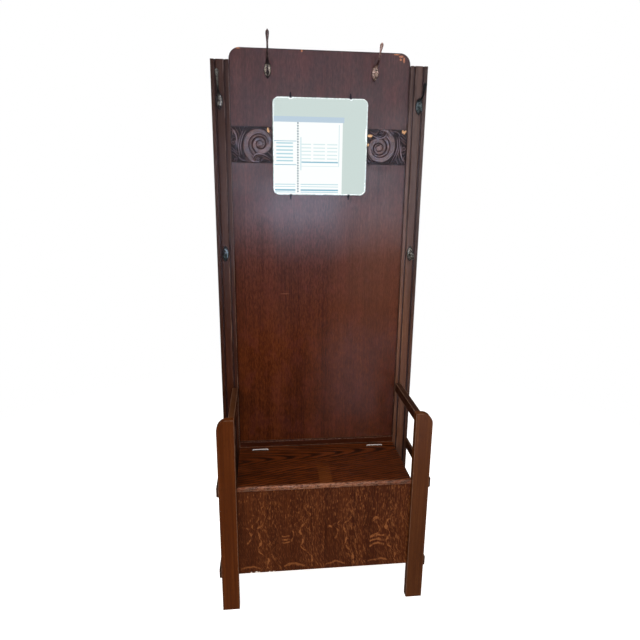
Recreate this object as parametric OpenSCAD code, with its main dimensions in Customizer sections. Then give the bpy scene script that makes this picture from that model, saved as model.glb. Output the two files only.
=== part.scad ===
/* [Overall] */
// Width over the front posts and the back stiles
hall_w = 690; // [670:2:730]
// Depth from the fronts of the posts to the backs of the stiles
hall_d = 311; // [306:1:330]
// Height of the back panel's top edge
panel_h = 1815; // [1800:5:1860]
// How far the stile tops stop below the panel's top edge
stile_drop = 38; // [30:1:60]

/* [Back] */
// Width of the stiles and of the front posts
stile_w = 56; // [54:1:60]
// Thickness of a stile, front to back
stile_t = 36; // [34:1:40]
// How far the stiles stand in front of the panel's face
stile_proud = 12; // [10:1:14]
// Thickness of the veneered back panel
panel_t = 12; // [10:1:14]
// Radius of the panel's two top corners
panel_r = 34; // [20:1:45]
// Height of the panel's lower edge above the floor
panel_foot = 110; // [90:1:120]
// Width of a groove in the stile fronts
groove_w = 5; // [3:0.5:6]
// Depth of a groove in the stile fronts
groove_d = 4; // [2:0.5:5]
// Height of a back batten
batten_h = 60; // [50:1:70]

/* [Posts and arms] */
// Height of the front posts and of the arms' top face
post_h = 697; // [680:1:720]
// Thickness of a front post, front to back
post_t = 24; // [22:1:26]
// Radius of a front post's outer top corner
post_r = 36; // [20:1:45]
// Width of an arm
arm_w = 19; // [17:1:24]
// Height of an arm
arm_h = 31; // [28:1:36]

/* [Umbrella rails] */
// Thickness of an outer rail
rail_t = 8; // [6:0.5:10]
// Height of an outer rail
rail_h = 35; // [32:1:40]
// Height of the upper rails' lower edge
upper_rail_z = 427; // [400:1:430]
// Height of the lower rails' lower edge
lower_rail_z = 122; // [110:1:130]
// How far a rail's ends stop short of the post front and the stile back
rail_inset = 9; // [6:1:11]

/* [Seat box] */
// Height of the seat's top face
seat_h = 458; // [450:1:470]
// Thickness of the seat boards
seat_t = 18; // [17:1:20]
// Height of the box's lower edge
box_foot = 129; // [120:1:140]
// Thickness of the front panel and of the box sides
box_t = 16; // [14:1:18]
// Thickness of the box bottom
bottom_t = 12; // [9:1:12]
// How far the front panel lies behind the post fronts
front_inset = 14; // [12:1:16]
// How far the lid's nose lies behind the post fronts
nose_inset = 8; // [6:1:10]
// Distance from the hinge line forward to the panel's face
hinge_in = 34.5; // [32:0.5:40]
// Height of the strip along the panel's base
fillet_h = 22; // [18:1:24]

/* [Hinges] */
// Length of a hinge
hinge_len = 54; // [50:1:60]
// Distance of each hinge's middle from the centre line
hinge_x = 213; // [180:1:230]
// Diameter of a hinge barrel
barrel_d = 6; // [5.5:0.5:7]
// Diameter of a hinge pin
pin_d = 3; // [2.5:0.1:3.2]

/* [Mirror and friezes] */
// Width of the mirror
mirror_w = 309; // [300:1:312]
// Height of the mirror
mirror_h = 303; // [290:1:310]
// Height of the mirror's lower edge
mirror_z = 1372; // [1365:1:1380]
// Radius of the mirror's corners
mirror_r = 19; // [10:1:25]
// Distance of the mirror clips from the centre line
clip_x = 97; // [80:1:120]
// Height of a carved frieze
frieze_h = 113; // [105:1:118]
// Height of the friezes' lower edge
frieze_z = 1472; // [1465:1:1480]
// Thickness of a carved frieze at its rim
frieze_t = 5; // [4:0.5:6]

/* [Hooks] */
// Width of a hook's plate
plate_w = 24; // [20:1:26]
// Height of a hook's plate
plate_h = 56; // [50:1:60]
// Height of the middle of the two top hooks' plates
top_hook_z = 1754; // [1750:1:1760]
// Height of the middle of the upper stile hooks' plates
side_hook_z = 1656; // [1640:1:1670]
// Height of the middle of the lower stile hooks' plates
coat_hook_z = 1177; // [1150:1:1200]

/* [Hidden] */

$fn = 48;

// Cutters reach this far past the faces they cut
cut = 1;
// Space round a screw or a dowel in its hole
slack = 0.05;

// Main planes, with x to the right, y to the back and z up from the floor
half_w = hall_w / 2;
inner_x = half_w - stile_w;
front_y = -hall_d / 2;
back_y = hall_d / 2;
stile_y = back_y - stile_t;
panel_y = stile_y + stile_proud;
batten_y = panel_y + panel_t;
batten_t = back_y - batten_y;
post_back_y = front_y + post_t;
box_front_y = front_y + front_inset;
box_back_of_front = box_front_y + box_t;
seat_under = seat_h - seat_t;
stile_h = panel_h - stile_drop;

// Battens from top to foot
batten_z = [stile_h - 90, 1050, seat_h - batten_h, panel_foot + 2];
batten_screw_x = [-220, -75, 75, 220];
// Tenons: length, thickness and height
batten_tenon = [15, 6, 40];
arm_tenon = [12, 9, 19];

// Grooves' middles, measured from a stile's inner edge
groove_mid = [12, 42];
band_r = 3;
edge_r = 1.5;

// The lid opens about this line
hinge_y = panel_y - hinge_in;
hinge_z = seat_h + 1;
lid_x = inner_x - 1;
lid_gap = 0.4;
nose_r = 6;
board_gap = 0.5;
leaf_t = 1.5;
leaf_h = 14;
leaf_gap = 0.2;
leaf_top = hinge_z - barrel_d / 2 - 0.4;
knuckles = 5;
knuckle_gap = 0.15;
pin_head_l = 2;
leaf_screw_x = [-18, 0, 18];

mirror_t = 4;
backing_t = 3;
glass_y = panel_y - backing_t - mirror_t;
clip_w = 7;
clip_t = 1;
clip_foot = 15;

dowel_d = 6;
dowel_l = 30;
dowel_z = [180, 285, 390];
dowel_y = (box_front_y + post_back_y) / 2;

cleat_w = 18;
block_w = 22;
lid_cleat_w = 40;
lid_cleat_x = 190;
lid_cleat_y = [-100, 50];

rail_screw_y = [front_y + 17.5, back_y - 21.5];
rail_screw_spread = 9;

plate_t = 3;
// Heights of a plate's two screws from its middle, clear of the prong and of the curl
plate_screw_z = [8, -19];
// Each tall hook: plate's place, how far its prong rises and reaches, and its lean in degrees
top_left_hook = [[-169, panel_y, top_hook_z], 101, 66, 0];
top_right_hook = [[175, panel_y, top_hook_z], 75, 72, 4];
side_left_hook = [[-321, stile_y, side_hook_z], 85, 62, 0];
side_right_hook = [[321, stile_y, side_hook_z], 63, 68, 0];
coat_hooks = [[[-317, stile_y, coat_hook_z], 0], [[317, stile_y, coat_hook_z], 0]];
hook_places = concat(
  [for (h = [top_left_hook, top_right_hook, side_left_hook, side_right_hook]) [h[0], h[3]]],
  coat_hooks
);

oak_dark = [0.22, 0.11, 0.08];
oak_stile = [0.19, 0.12, 0.09];
oak_post = [0.36, 0.21, 0.11];
oak_seat = [0.33, 0.14, 0.07];
oak_figured = [0.36, 0.18, 0.09];
plain_wood = [0.55, 0.42, 0.28];
bronze = [0.35, 0.30, 0.22];
steel = [0.60, 0.58, 0.55];

// ---- helpers ----

// Draws its children on the right side, or mirrored onto the left
module on_side(side) mirror([side < 0 ? 1 : 0, 0, 0]) children();

// A flat cutter that rounds the corner at the origin of a shape lying in x > 0, y > 0
module corner_cut(r) difference() {
  translate([-cut, -cut]) square(r + cut);
  translate([r, r]) circle(r);
}

module board(from, to) translate(from) cube(to - from);

// A countersunk wood screw: its head is flush with z = 0 and its shank goes down
module screw(d, l, head_d, room = 0) {
  head_l = (head_d - d) / 2;
  translate([0, 0, -l]) cylinder(h = l - head_l / 2, d = d + 2 * room);
  translate([0, 0, -head_l]) cylinder(h = head_l, d1 = d + 2 * room, d2 = head_d + 2 * room);
}

module slotted_screw(d, l, head_d) difference() {
  screw(d, l, head_d);
  translate([-head_d, -0.4, -0.7]) cube([2 * head_d, 0.8, 2]);
}

// ---- places of the fasteners ----

module at_batten_screws() for (z = batten_z, x = batten_screw_x)
  translate([x, back_y, z + batten_h / 2]) rotate([-90, 0, 0]) children();

module at_rail_screws() for (side = [-1, 1], y = rail_screw_y, z = [upper_rail_z, lower_rail_z])
  for (dz = [-rail_screw_spread, rail_screw_spread])
    on_side(side) translate([half_w + rail_t, y, z + rail_h / 2 + dz]) rotate([0, 90, 0]) children();

module at_dowels() for (side = [-1, 1], z = dowel_z)
  on_side(side) translate([inner_x - dowel_l / 2, dowel_y, z]) rotate([0, 90, 0]) children();

module at_hook_screws() for (h = hook_places, z = plate_screw_z)
  translate(h[0]) rotate([0, h[1], 0]) translate([0, -plate_t, z]) rotate([90, 0, 0]) children();

module at_clips() for (x = [-clip_x, clip_x]) {
  translate([x, 0, mirror_z + mirror_h]) children();
  translate([x, 0, mirror_z]) mirror([0, 0, 1]) children();
}

module at_hinges() for (x = [-hinge_x, hinge_x]) translate([x, hinge_y, hinge_z]) children();

// Screw heads on the leaf that lies behind (1) or in front (-1) of the hinge line
module at_leaf_screws(way) at_hinges() for (x = leaf_screw_x)
  translate([x, way * leaf_gap, leaf_top - hinge_z - leaf_h / 2]) rotate([way * 90, 0, 0]) children();

module at_lid_cleat_screws() for (x = [-lid_cleat_x, lid_cleat_x], y = lid_cleat_y)
  translate([x, y + (y < 0 ? 20 : -20), seat_under + lid_gap - 16]) rotate([180, 0, 0]) children();

// ---- back ----

module back_panel() color(oak_dark) difference() {
  translate([0, batten_y, 0]) rotate([90, 0, 0]) linear_extrude(panel_t) difference() {
    translate([-inner_x, panel_foot]) square([2 * inner_x, panel_h - panel_foot]);
    for (side = [-1, 1]) mirror([side < 0 ? 1 : 0, 0])
      translate([inner_x, panel_h]) rotate(180) corner_cut(panel_r);
  }
  at_batten_screws() screw(4, 20, 8, slack);
  at_hook_screws() screw(3, 13, 3, slack);
}

// Seen from above: x from the inner edge, y from the front face
module stile_profile() difference() {
  square([stile_w, stile_t]);
  for (x = groove_mid) translate([x - groove_w / 2, -cut]) square([groove_w, groove_d + cut]);
  translate([groove_mid[0] + groove_w / 2, 0]) corner_cut(band_r);
  translate([groove_mid[1] - groove_w / 2, 0]) mirror([1, 0]) corner_cut(band_r);
  translate([stile_w, 0]) mirror([1, 0]) corner_cut(edge_r);
}

module stile(side) color(oak_stile) difference() {
  on_side(side) difference() {
    translate([inner_x, stile_y, 0]) linear_extrude(stile_h) stile_profile();
    for (z = batten_z) translate([0, 0, z + batten_h / 2]) batten_tenons();
    arm_tenons();
  }
  at_rail_screws() screw(4, 30, 8, slack);
  at_hook_screws() screw(3, 13, 3, slack);
}

// The tenons at both ends of a batten whose middle is at z = 0
module batten_tenons() translate([0, batten_y + batten_t / 2, 0])
  cube([2 * (inner_x + batten_tenon[0]), batten_tenon[1], batten_tenon[2]], center = true);

module batten(z) color(plain_wood) difference() {
  union() {
    board([-inner_x, batten_y, z], [inner_x, back_y, z + batten_h]);
    translate([0, 0, z + batten_h / 2]) batten_tenons();
  }
  at_batten_screws() screw(4, 20, 8, slack);
}

module batten_screws() color(steel) at_batten_screws() slotted_screw(4, 20, 8);

// A carved plaque: a raised rim of rolled bands about a boss, cut square at its edges
module frieze(side) color(oak_dark) {
  left = mirror_w / 2 + 0.5;
  mid = [side * (left + inner_x) / 2 - side * 22, panel_y, frieze_z + frieze_h / 2];
  union() {
    on_side(side) board([left, panel_y - frieze_t, frieze_z], [inner_x, panel_y, frieze_z + frieze_h]);
    translate(mid) rotate([90, 0, 0]) {
      rotate_extrude() translate([30, frieze_t]) circle(3);
      cylinder(h = frieze_t + 2.5, r = 12);
    }
  }
}

// ---- mirror ----

module mirror_outline(inset) {
  r = mirror_r - inset;
  w = mirror_w - 2 * inset;
  h = mirror_h - 2 * inset;
  translate([-w / 2, mirror_z + inset]) difference() {
    square([w, h]);
    corner_cut(r);
    translate([w, 0]) mirror([1, 0]) corner_cut(r);
    translate([0, h]) mirror([0, 1]) corner_cut(r);
    translate([w, h]) rotate(180) corner_cut(r);
  }
}

module mirror_backing() color("dimgray")
  translate([0, panel_y, 0]) rotate([90, 0, 0]) linear_extrude(backing_t) mirror_outline(4);

module mirror_glass() color([0.80, 0.86, 0.85])
  translate([0, panel_y - backing_t, 0]) rotate([90, 0, 0]) linear_extrude(mirror_t) mirror_outline(0);

// Each clip's foot lies on the panel and its finger holds the edge of the glass
module mirror_clips() color("dimgray") at_clips() difference() {
  union() {
    board([-clip_w / 2, panel_y - clip_t, 0.2], [clip_w / 2, panel_y, clip_foot]);
    board([-clip_w / 2, glass_y - clip_t, 0.2], [clip_w / 2, panel_y, 0.2 + clip_t]);
    board([-clip_w / 2, glass_y - clip_t, -3], [clip_w / 2, glass_y, 0.2 + clip_t]);
  }
  translate([0, panel_y, clip_foot - 4]) rotate([90, 0, 0]) cylinder(h = 6, d = 2.1, center = true);
}

// Their shanks stop in the clip's foot, at the panel's face
module clip_screws() color(steel) at_clips() translate([0, panel_y, clip_foot - 4]) rotate([90, 0, 0]) {
  cylinder(h = clip_t, d = 2);
  translate([0, 0, clip_t]) cylinder(h = 1, d = 3.8);
}

// ---- hooks ----

function bezier(p, t) =
  pow(1 - t, 3) * p[0] + 3 * pow(1 - t, 2) * t * p[1] + 3 * (1 - t) * t * t * p[2] + pow(t, 3) * p[3];
function unit(v) = v / norm(v);

// Sweeps an oval along a curve in the y-z plane; wide and deep hold its half-sizes against t
module sweep_oval(p, wide, deep, rings = 14, sides = 12) {
  pts = [for (i = [0:rings], k = [0:sides - 1])
    let (
      t = i / rings,
      c = bezier(p, t),
      dir = unit(bezier(p, t + 0.01) - bezier(p, t - 0.01)),
      a = 360 * k / sides,
      up = lookup(t, deep) * sin(a)
    )
    [lookup(t, wide) * cos(a), c[0] - dir[1] * up, c[1] + dir[0] * up]];
  sides_faces = [for (i = [0:rings - 1], k = [0:sides - 1])
    let (n = (k + 1) % sides)
    [i * sides + k, i * sides + n, (i + 1) * sides + n, (i + 1) * sides + k]];
  first = [for (k = [sides - 1:-1:0]) k];
  last = [for (k = [0:sides - 1]) rings * sides + k];
  polyhedron(points = pts, faces = concat([first], sides_faces, [last]));
}

// A pointed oval plate, its back on y = 0
module hook_plate() rotate([90, 0, 0]) linear_extrude(plate_t) {
  r = (pow(plate_h / 2, 2) + pow(plate_w / 2, 2)) / plate_w;
  intersection() {
    translate([plate_w / 2 - r, 0]) circle(r, $fn = 96);
    translate([r - plate_w / 2, 0]) circle(r, $fn = 96);
  }
}

module hook_body(place, lean) color(bronze) difference() {
  translate(place) rotate([0, lean, 0]) union() {
    hook_plate();
    children();
  }
  at_hook_screws() screw(3, 13, 3, slack);
}

// A long prong that rises forward to a flattened tip
module prong(rise, reach) sweep_oval(
  [[-1, 18], [-0.75 * reach, 17], [-0.62 * reach, 0.55 * rise], [-reach + 2, rise - 2]],
  [[0, 6.2], [0.35, 3.2], [0.75, 3.2], [0.92, 5.6], [1, 3.4]],
  [[0, 4.2], [0.35, 3], [0.75, 2.4], [0.92, 2.6], [1, 1.8]]
);

// A short prong that turns up at its end
module curl(reach, tip_z) sweep_oval(
  [[-1, -4], [-0.45 * reach, -8], [-0.95 * reach, -34], [-reach, tip_z]],
  [[0, 4], [0.5, 3], [0.85, 4.4], [1, 2.8]],
  [[0, 4], [0.5, 2.8], [0.85, 3.4], [1, 2.2]]
);

module tall_hook(h) hook_body(h[0], h[3]) {
  prong(h[1], h[2]);
  curl(32, -6);
}

module coat_hook(h) hook_body(h[0], h[1]) curl(42, 4);

// Round heads stand on the plates
module hook_screws() color(bronze) at_hook_screws() {
  translate([0, 0, -13]) cylinder(h = 13, d = 3);
  cylinder(h = 1.4, d1 = 5.6, d2 = 4);
}

// ---- posts, arms and rails ----

module front_post(side) color(oak_post) difference() {
  on_side(side) difference() {
    translate([inner_x, post_back_y, 0]) rotate([90, 0, 0]) linear_extrude(post_t) difference() {
      square([stile_w, post_h]);
      translate([stile_w, post_h]) rotate(180) corner_cut(post_r);
    }
    arm_tenons();
  }
  at_dowels() cylinder(h = dowel_l, d = dowel_d + 2 * slack);
  at_rail_screws() screw(4, 30, 8, slack);
}

module post_dowels() color(plain_wood) at_dowels() cylinder(h = dowel_l, d = dowel_d);

// One long tenon stands for the two at an arm's ends
module arm_tenons() translate([
  inner_x + (arm_w - arm_tenon[1]) / 2, post_back_y - arm_tenon[0], post_h - (arm_h + arm_tenon[2]) / 2
]) cube([arm_tenon[1], stile_y - post_back_y + 2 * arm_tenon[0], arm_tenon[2]]);

module arm(side) color(oak_post) on_side(side) {
  board([inner_x, post_back_y, post_h - arm_h], [inner_x + arm_w, stile_y, post_h]);
  arm_tenons();
}

// A rail lapped on the outer edges of a post and a stile, its outer edges rounded
module rail(side, z) color(oak_post) difference() {
  on_side(side) translate([half_w, back_y - rail_inset, z])
    rotate([90, 0, 0]) linear_extrude(hall_d - 2 * rail_inset) difference() {
      square([rail_t, rail_h]);
      translate([rail_t, 0]) mirror([1, 0]) corner_cut(3);
      translate([rail_t, rail_h]) rotate(180) corner_cut(3);
    }
  at_rail_screws() screw(4, 30, 8, slack);
}

module rail_screws() color(steel) at_rail_screws() slotted_screw(4, 30, 8);

// ---- seat box ----

module box_front() color(oak_figured) difference() {
  board([-inner_x, box_front_y, box_foot], [inner_x, box_back_of_front, seat_under]);
  at_dowels() cylinder(h = dowel_l, d = dowel_d + 2 * slack);
}

module box_side(side) color(oak_post) on_side(side)
  board([inner_x - box_t, box_back_of_front, box_foot], [inner_x, panel_y, seat_under]);

bottom_z = box_foot + 13;
inside_x = inner_x - box_t;

module box_bottom() color(plain_wood)
  board([-inside_x, box_back_of_front, bottom_z], [inside_x, panel_y, bottom_z + bottom_t]);

module bottom_cleats() color(plain_wood) {
  for (side = [-1, 1]) on_side(side)
    board([inside_x - cleat_w, box_back_of_front, box_foot], [inside_x, panel_y, bottom_z]);
  for (y = [box_back_of_front, panel_y - cleat_w])
    board([-inside_x + cleat_w + 1, y, box_foot], [inside_x - cleat_w - 1, y + cleat_w, bottom_z]);
}

module corner_blocks() color(plain_wood)
  for (side = [-1, 1], y = [box_back_of_front, panel_y - block_w]) on_side(side)
    board([inside_x - block_w, y, bottom_z + bottom_t], [inside_x, y + block_w, seat_under - 20]);

// A slot for a leaf and a channel for the barrel, for the board behind (1) or in front (-1)
module hinge_housing(way) at_hinges() {
  mirror([0, way < 0 ? 1 : 0, 0])
    board([-hinge_len / 2 - slack, 0, leaf_top - leaf_h - slack - hinge_z],
          [hinge_len / 2 + slack, leaf_gap + leaf_t + slack, cut]);
  rotate([0, 90, 0]) cylinder(h = hinge_len + 2 * pin_head_l + 2, r = barrel_d / 2 + 0.4, center = true);
}

module seat_back_board() color(oak_seat) difference() {
  board([-inner_x, hinge_y + board_gap, seat_under], [inner_x, panel_y, seat_h]);
  hinge_housing(1);
  at_leaf_screws(1) screw(3, 14, 5.6, slack);
}

module rear_fillet() color(oak_seat) translate([-inner_x, 0, 0]) rotate([90, 0, 90])
  linear_extrude(2 * inner_x) difference() {
    translate([panel_y - 9, seat_h]) square([9, fillet_h]);
    translate([panel_y - 9, seat_h + fillet_h]) mirror([0, 1]) corner_cut(4);
  }

// ---- lid ----

module seat_lid() color(oak_seat) difference() {
  nose_y = front_y + nose_inset;
  low = seat_under + lid_gap;
  translate([-lid_x, 0, 0]) rotate([90, 0, 90]) linear_extrude(2 * lid_x) difference() {
    translate([nose_y, low]) square([hinge_y - board_gap - nose_y, seat_h - low]);
    translate([nose_y, low]) corner_cut(nose_r);
    translate([nose_y, seat_h]) mirror([0, 1]) corner_cut(nose_r);
  }
  hinge_housing(-1);
  at_leaf_screws(-1) screw(3, 14, 5.6, slack);
  at_lid_cleat_screws() screw(4, 28, 8, slack);
}

module lid_cleats() color(plain_wood) difference() {
  for (x = [-lid_cleat_x, lid_cleat_x])
    board([x - lid_cleat_w / 2, lid_cleat_y[0], seat_under + lid_gap - 16],
          [x + lid_cleat_w / 2, lid_cleat_y[1], seat_under + lid_gap]);
  at_lid_cleat_screws() screw(4, 28, 8, slack);
}

module lid_cleat_screws() color(steel) at_lid_cleat_screws() slotted_screw(4, 28, 8);

// ---- hinges ----

// A leaf behind (1) or in front (-1) of the hinge line, with every second knuckle from the first
module hinge_leaf(x, way, first) color(steel) difference() {
  pitch = hinge_len / knuckles;
  translate([x, hinge_y, hinge_z]) {
    mirror([0, way < 0 ? 1 : 0, 0])
      board([-hinge_len / 2, leaf_gap, leaf_top - leaf_h - hinge_z],
            [hinge_len / 2, leaf_gap + leaf_t, leaf_top - hinge_z]);
    for (i = [first:2:knuckles - 1]) translate([i * pitch - hinge_len / 2 + knuckle_gap, 0, 0]) {
      rotate([0, 90, 0]) cylinder(h = pitch - 2 * knuckle_gap, d = barrel_d);
      mirror([0, way < 0 ? 1 : 0, 0])
        board([0, leaf_gap, leaf_top - 1 - hinge_z], [pitch - 2 * knuckle_gap, leaf_gap + leaf_t, 0]);
    }
  }
  translate([x, hinge_y, hinge_z]) rotate([0, 90, 0])
    cylinder(h = hinge_len + 2, d = pin_d + 2 * slack, center = true);
  at_leaf_screws(way) screw(3, 14, 5.6, slack);
}

module hinge_pin(x) color(steel) translate([x, hinge_y, hinge_z]) rotate([0, 90, 0]) {
  cylinder(h = hinge_len + 1, d = pin_d, center = true);
  for (end = [-1, 1]) translate([0, 0, end * (hinge_len / 2 + 0.2)]) mirror([0, 0, end < 0 ? 1 : 0])
    cylinder(h = pin_head_l - 0.2, d1 = barrel_d - 0.8, d2 = barrel_d - 2.4);
}

module leaf_screws(way) color(steel) at_leaf_screws(way) slotted_screw(3, 14, 5.6);

back_panel();
stile(-1);  // stile_left
stile(1);  // stile_right
batten(batten_z[0]);  // batten_top
batten(batten_z[1]);  // batten_middle
batten(batten_z[2]);  // batten_seat
batten(batten_z[3]);  // batten_foot
batten_screws();
frieze(-1);  // frieze_left
frieze(1);  // frieze_right
mirror_backing();
mirror_glass();
mirror_clips();
clip_screws();
tall_hook(top_left_hook);  // hook_top_left
tall_hook(top_right_hook);  // hook_top_right
tall_hook(side_left_hook);  // hook_side_left
tall_hook(side_right_hook);  // hook_side_right
coat_hook(coat_hooks[0]);  // coat_hook_left
coat_hook(coat_hooks[1]);  // coat_hook_right
hook_screws();
front_post(-1);  // front_post_left
front_post(1);  // front_post_right
post_dowels();
arm(-1);  // arm_left
arm(1);  // arm_right
rail(-1, upper_rail_z);  // upper_rail_left
rail(1, upper_rail_z);  // upper_rail_right
rail(-1, lower_rail_z);  // lower_rail_left
rail(1, lower_rail_z);  // lower_rail_right
rail_screws();
box_front();
box_side(-1);  // box_side_left
box_side(1);  // box_side_right
box_bottom();
bottom_cleats();
corner_blocks();
seat_back_board();
rear_fillet();
hinge_leaf(-hinge_x, 1, 0);  // hinge_fixed_leaf_left
hinge_leaf(hinge_x, 1, 0);  // hinge_fixed_leaf_right
leaf_screws(1);  // fixed_leaf_screws
hinge_pin(-hinge_x);  // hinge_pin_left
hinge_pin(hinge_x);  // hinge_pin_right
seat_lid();
lid_cleats();
lid_cleat_screws();
hinge_leaf(-hinge_x, -1, 1);  // hinge_lid_leaf_left
hinge_leaf(hinge_x, -1, 1);  // hinge_lid_leaf_right
leaf_screws(-1);  // lid_leaf_screws
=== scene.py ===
"""Looks for the hall tree: a finish for every CAD node, and detailed hooks, carving, mirror and clips."""

import math

import bpy
import numpy as np
from mathutils import Matrix, Vector


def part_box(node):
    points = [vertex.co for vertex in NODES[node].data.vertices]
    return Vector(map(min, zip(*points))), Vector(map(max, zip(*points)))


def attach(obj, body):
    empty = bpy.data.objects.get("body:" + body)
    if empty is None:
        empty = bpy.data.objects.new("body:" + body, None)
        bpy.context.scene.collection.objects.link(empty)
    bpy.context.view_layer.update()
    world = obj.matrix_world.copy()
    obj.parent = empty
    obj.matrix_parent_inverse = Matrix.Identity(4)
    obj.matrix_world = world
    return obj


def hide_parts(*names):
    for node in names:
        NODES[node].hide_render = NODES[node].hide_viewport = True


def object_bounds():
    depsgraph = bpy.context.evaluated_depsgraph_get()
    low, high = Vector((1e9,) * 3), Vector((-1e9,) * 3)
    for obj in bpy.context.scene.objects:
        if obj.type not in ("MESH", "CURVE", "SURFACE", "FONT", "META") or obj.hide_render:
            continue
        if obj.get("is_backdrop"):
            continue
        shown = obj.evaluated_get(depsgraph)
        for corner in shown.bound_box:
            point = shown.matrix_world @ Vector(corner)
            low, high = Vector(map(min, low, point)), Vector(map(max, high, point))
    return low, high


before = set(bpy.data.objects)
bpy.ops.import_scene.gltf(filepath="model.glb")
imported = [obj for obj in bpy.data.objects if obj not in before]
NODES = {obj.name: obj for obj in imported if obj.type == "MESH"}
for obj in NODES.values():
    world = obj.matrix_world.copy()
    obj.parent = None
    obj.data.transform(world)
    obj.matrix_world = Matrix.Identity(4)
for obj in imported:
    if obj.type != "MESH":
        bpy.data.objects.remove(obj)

CAD_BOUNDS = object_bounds()
MM = 0.001

PANEL_LOW, PANEL_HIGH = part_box("back_panel")
STILE_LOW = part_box("stile_right")[0]
GLASS_LOW, GLASS_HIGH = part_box("mirror_glass")
SEAT_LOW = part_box("seat_lid")[0]
FRONT_LOW, FRONT_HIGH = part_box("box_front")
PANEL_FACE = PANEL_LOW.y
STILE_FACE = STILE_LOW.y


# ---- node graphs

def linear(colour):
    """The linear colour that nodes take, from display values r, g and b between 0 and 255."""
    def one(c):
        c /= 255
        return c / 12.92 if c <= 0.04045 else ((c + 0.055) / 1.055) ** 2.4
    return (*map(one, colour), 1.0)


class Value:
    """A number, colour or point in a node graph. Arithmetic with values adds nodes."""

    def __init__(self, graph, socket):
        self.graph = graph
        self.socket = socket

    def __add__(self, other):
        return self.graph.math("ADD", self, other)

    __radd__ = __add__

    def __sub__(self, other):
        return self.graph.math("SUBTRACT", self, other)

    def __rsub__(self, other):
        return self.graph.math("SUBTRACT", other, self)

    def __mul__(self, other):
        return self.graph.math("MULTIPLY", self, other)

    def __truediv__(self, other):
        return self.graph.math("DIVIDE", self, other)

    def __abs__(self):
        return self.graph.math("ABSOLUTE", self)


class Graph:
    """Builds one material. Most methods add a node and return its output as a value. A colour is
    given as three display values; one with four numbers is linear already."""

    def __init__(self, name):
        self.material = bpy.data.materials.new(name)
        self.material.use_nodes = True
        self.tree = self.material.node_tree
        self.shader = self.tree.nodes["Principled BSDF"]
        self.point = self.output(self.add("TexCoord"), "Object")
        self.x, self.y, self.z = self.split(self.point)

    def add(self, kind, *values, **settings):
        """A new node, with its first sockets filled in order."""
        node = self.tree.nodes.new("ShaderNode" + kind)
        for key, value in settings.items():
            setattr(node, key, value)
        for socket, value in zip(node.inputs, values):
            self.put(socket, value)
        return node

    def output(self, node, key=0):
        """One of a node's outputs, as a value."""
        return Value(self, node.outputs[key])

    def put(self, socket, value):
        """Links a value to a socket, or writes a plain number, colour or vector into it."""
        if isinstance(value, Value):
            self.tree.links.new(value.socket, socket)
        elif socket.type == "RGBA" and len(value) == 3:
            socket.default_value = linear(value)
        else:
            socket.default_value = value

    def fill(self, node, **values):
        """Fills a node's sockets by name; a name's underscores stand for spaces."""
        for key, value in values.items():
            self.put(node.inputs[key.replace("_", " ")], value)
        return self.output(node)

    def set(self, **values):
        """Fills the shader's own sockets."""
        self.fill(self.shader, **values)

    def math(self, operation, *values):
        return self.output(self.add("Math", *values, operation=operation))

    def most(self, *values):
        """The largest of some values."""
        total = values[0]
        for value in values[1:]:
            total = self.math("MAXIMUM", total, value)
        return total

    def least(self, a, b):
        return self.math("MINIMUM", a, b)

    def vector(self, operation, *values):
        return self.output(self.add("VectorMath", *values, operation=operation), "Vector")

    def length(self, point):
        return self.output(self.add("VectorMath", point, operation="LENGTH"), "Value")

    def split(self, point):
        node = self.add("SeparateXYZ", point)
        return [self.output(node, axis) for axis in range(3)]

    def join(self, x, y, z):
        return self.output(self.add("CombineXYZ", x, y, z))

    def noise(self, point, scale, detail=2.0, rough=0.5, twist=0.0):
        return self.fill(self.add("TexNoise"), Vector=point, Scale=scale, Detail=detail, Roughness=rough,
                         Distortion=twist)

    def cells(self, point, scale):
        """The distance to the nearest of many scattered points."""
        return self.fill(self.add("TexVoronoi"), Vector=point, Scale=scale)

    def span(self, value, start, end, low=0.0, high=1.0):
        """Turns value, from start to end, smoothly into low to high."""
        node = self.add("MapRange", value, start, end, low, high, interpolation_type="SMOOTHSTEP")
        return self.output(node)

    def band(self, value, start, full, still_full, end):
        """A mask that rises from start to full, and falls from still_full to end."""
        return self.span(value, start, full) * self.span(value, end, still_full)

    def mix(self, share, a, b):
        """Blends colour a into colour b; a Mix node keeps its colours in sockets 6 and 7."""
        node = self.add("Mix", data_type="RGBA")
        for index, value in ((0, share), (6, a), (7, b)):
            self.put(node.inputs[index], value)
        return self.output(node, 2)

    def ramp(self, value, *stops):
        """Colours by value, from stops of a place and a colour."""
        node = self.add("ValToRGB", value)
        elements = node.color_ramp.elements
        while len(elements) < len(stops):
            elements.new(0.5)
        for element, (place, colour) in zip(elements, stops):
            element.position = place
            element.color = linear(colour)
        return self.output(node)

    def bump(self, height, strength, depth):
        """Gives the surface a relief; depth is in metres."""
        self.set(Normal=self.fill(self.add("Bump"), Height=height, Strength=strength, Distance=depth))

    def stretched(self, axis, share, seed=0.0):
        """The point with its run along the grain shortened, and moved to a place of its own."""
        moved = self.vector("ADD", self.point, (1.7 * seed, 0.9 * seed, 1.3 * seed))
        return self.vector("MULTIPLY", moved, tuple(share if a == axis else 1.0 for a in "xyz"))

    def edge_distance(self, low, high):
        """How far a point on a board's surface is from the board's nearest edge."""
        near = self.vector("MINIMUM", self.vector("SUBTRACT", self.point, tuple(low)),
                           self.vector("SUBTRACT", tuple(high), self.point))
        x, y, z = self.split(near)
        return self.most(self.least(x, y), self.least(self.most(x, y), z))

    def spot(self, centre, size, ragged=0.9, grain=420.0):
        """A ragged patch: 1 inside it and 0 outside. Size holds its half-sizes."""
        away = self.vector("SUBTRACT", self.point, tuple(centre))
        away = self.length(self.vector("DIVIDE", away, tuple(size)))
        rough = (self.noise(self.point, grain, 3) - 0.5) * ragged
        return self.span(away + rough, 1.08, 0.92)


# ---- woods

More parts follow.
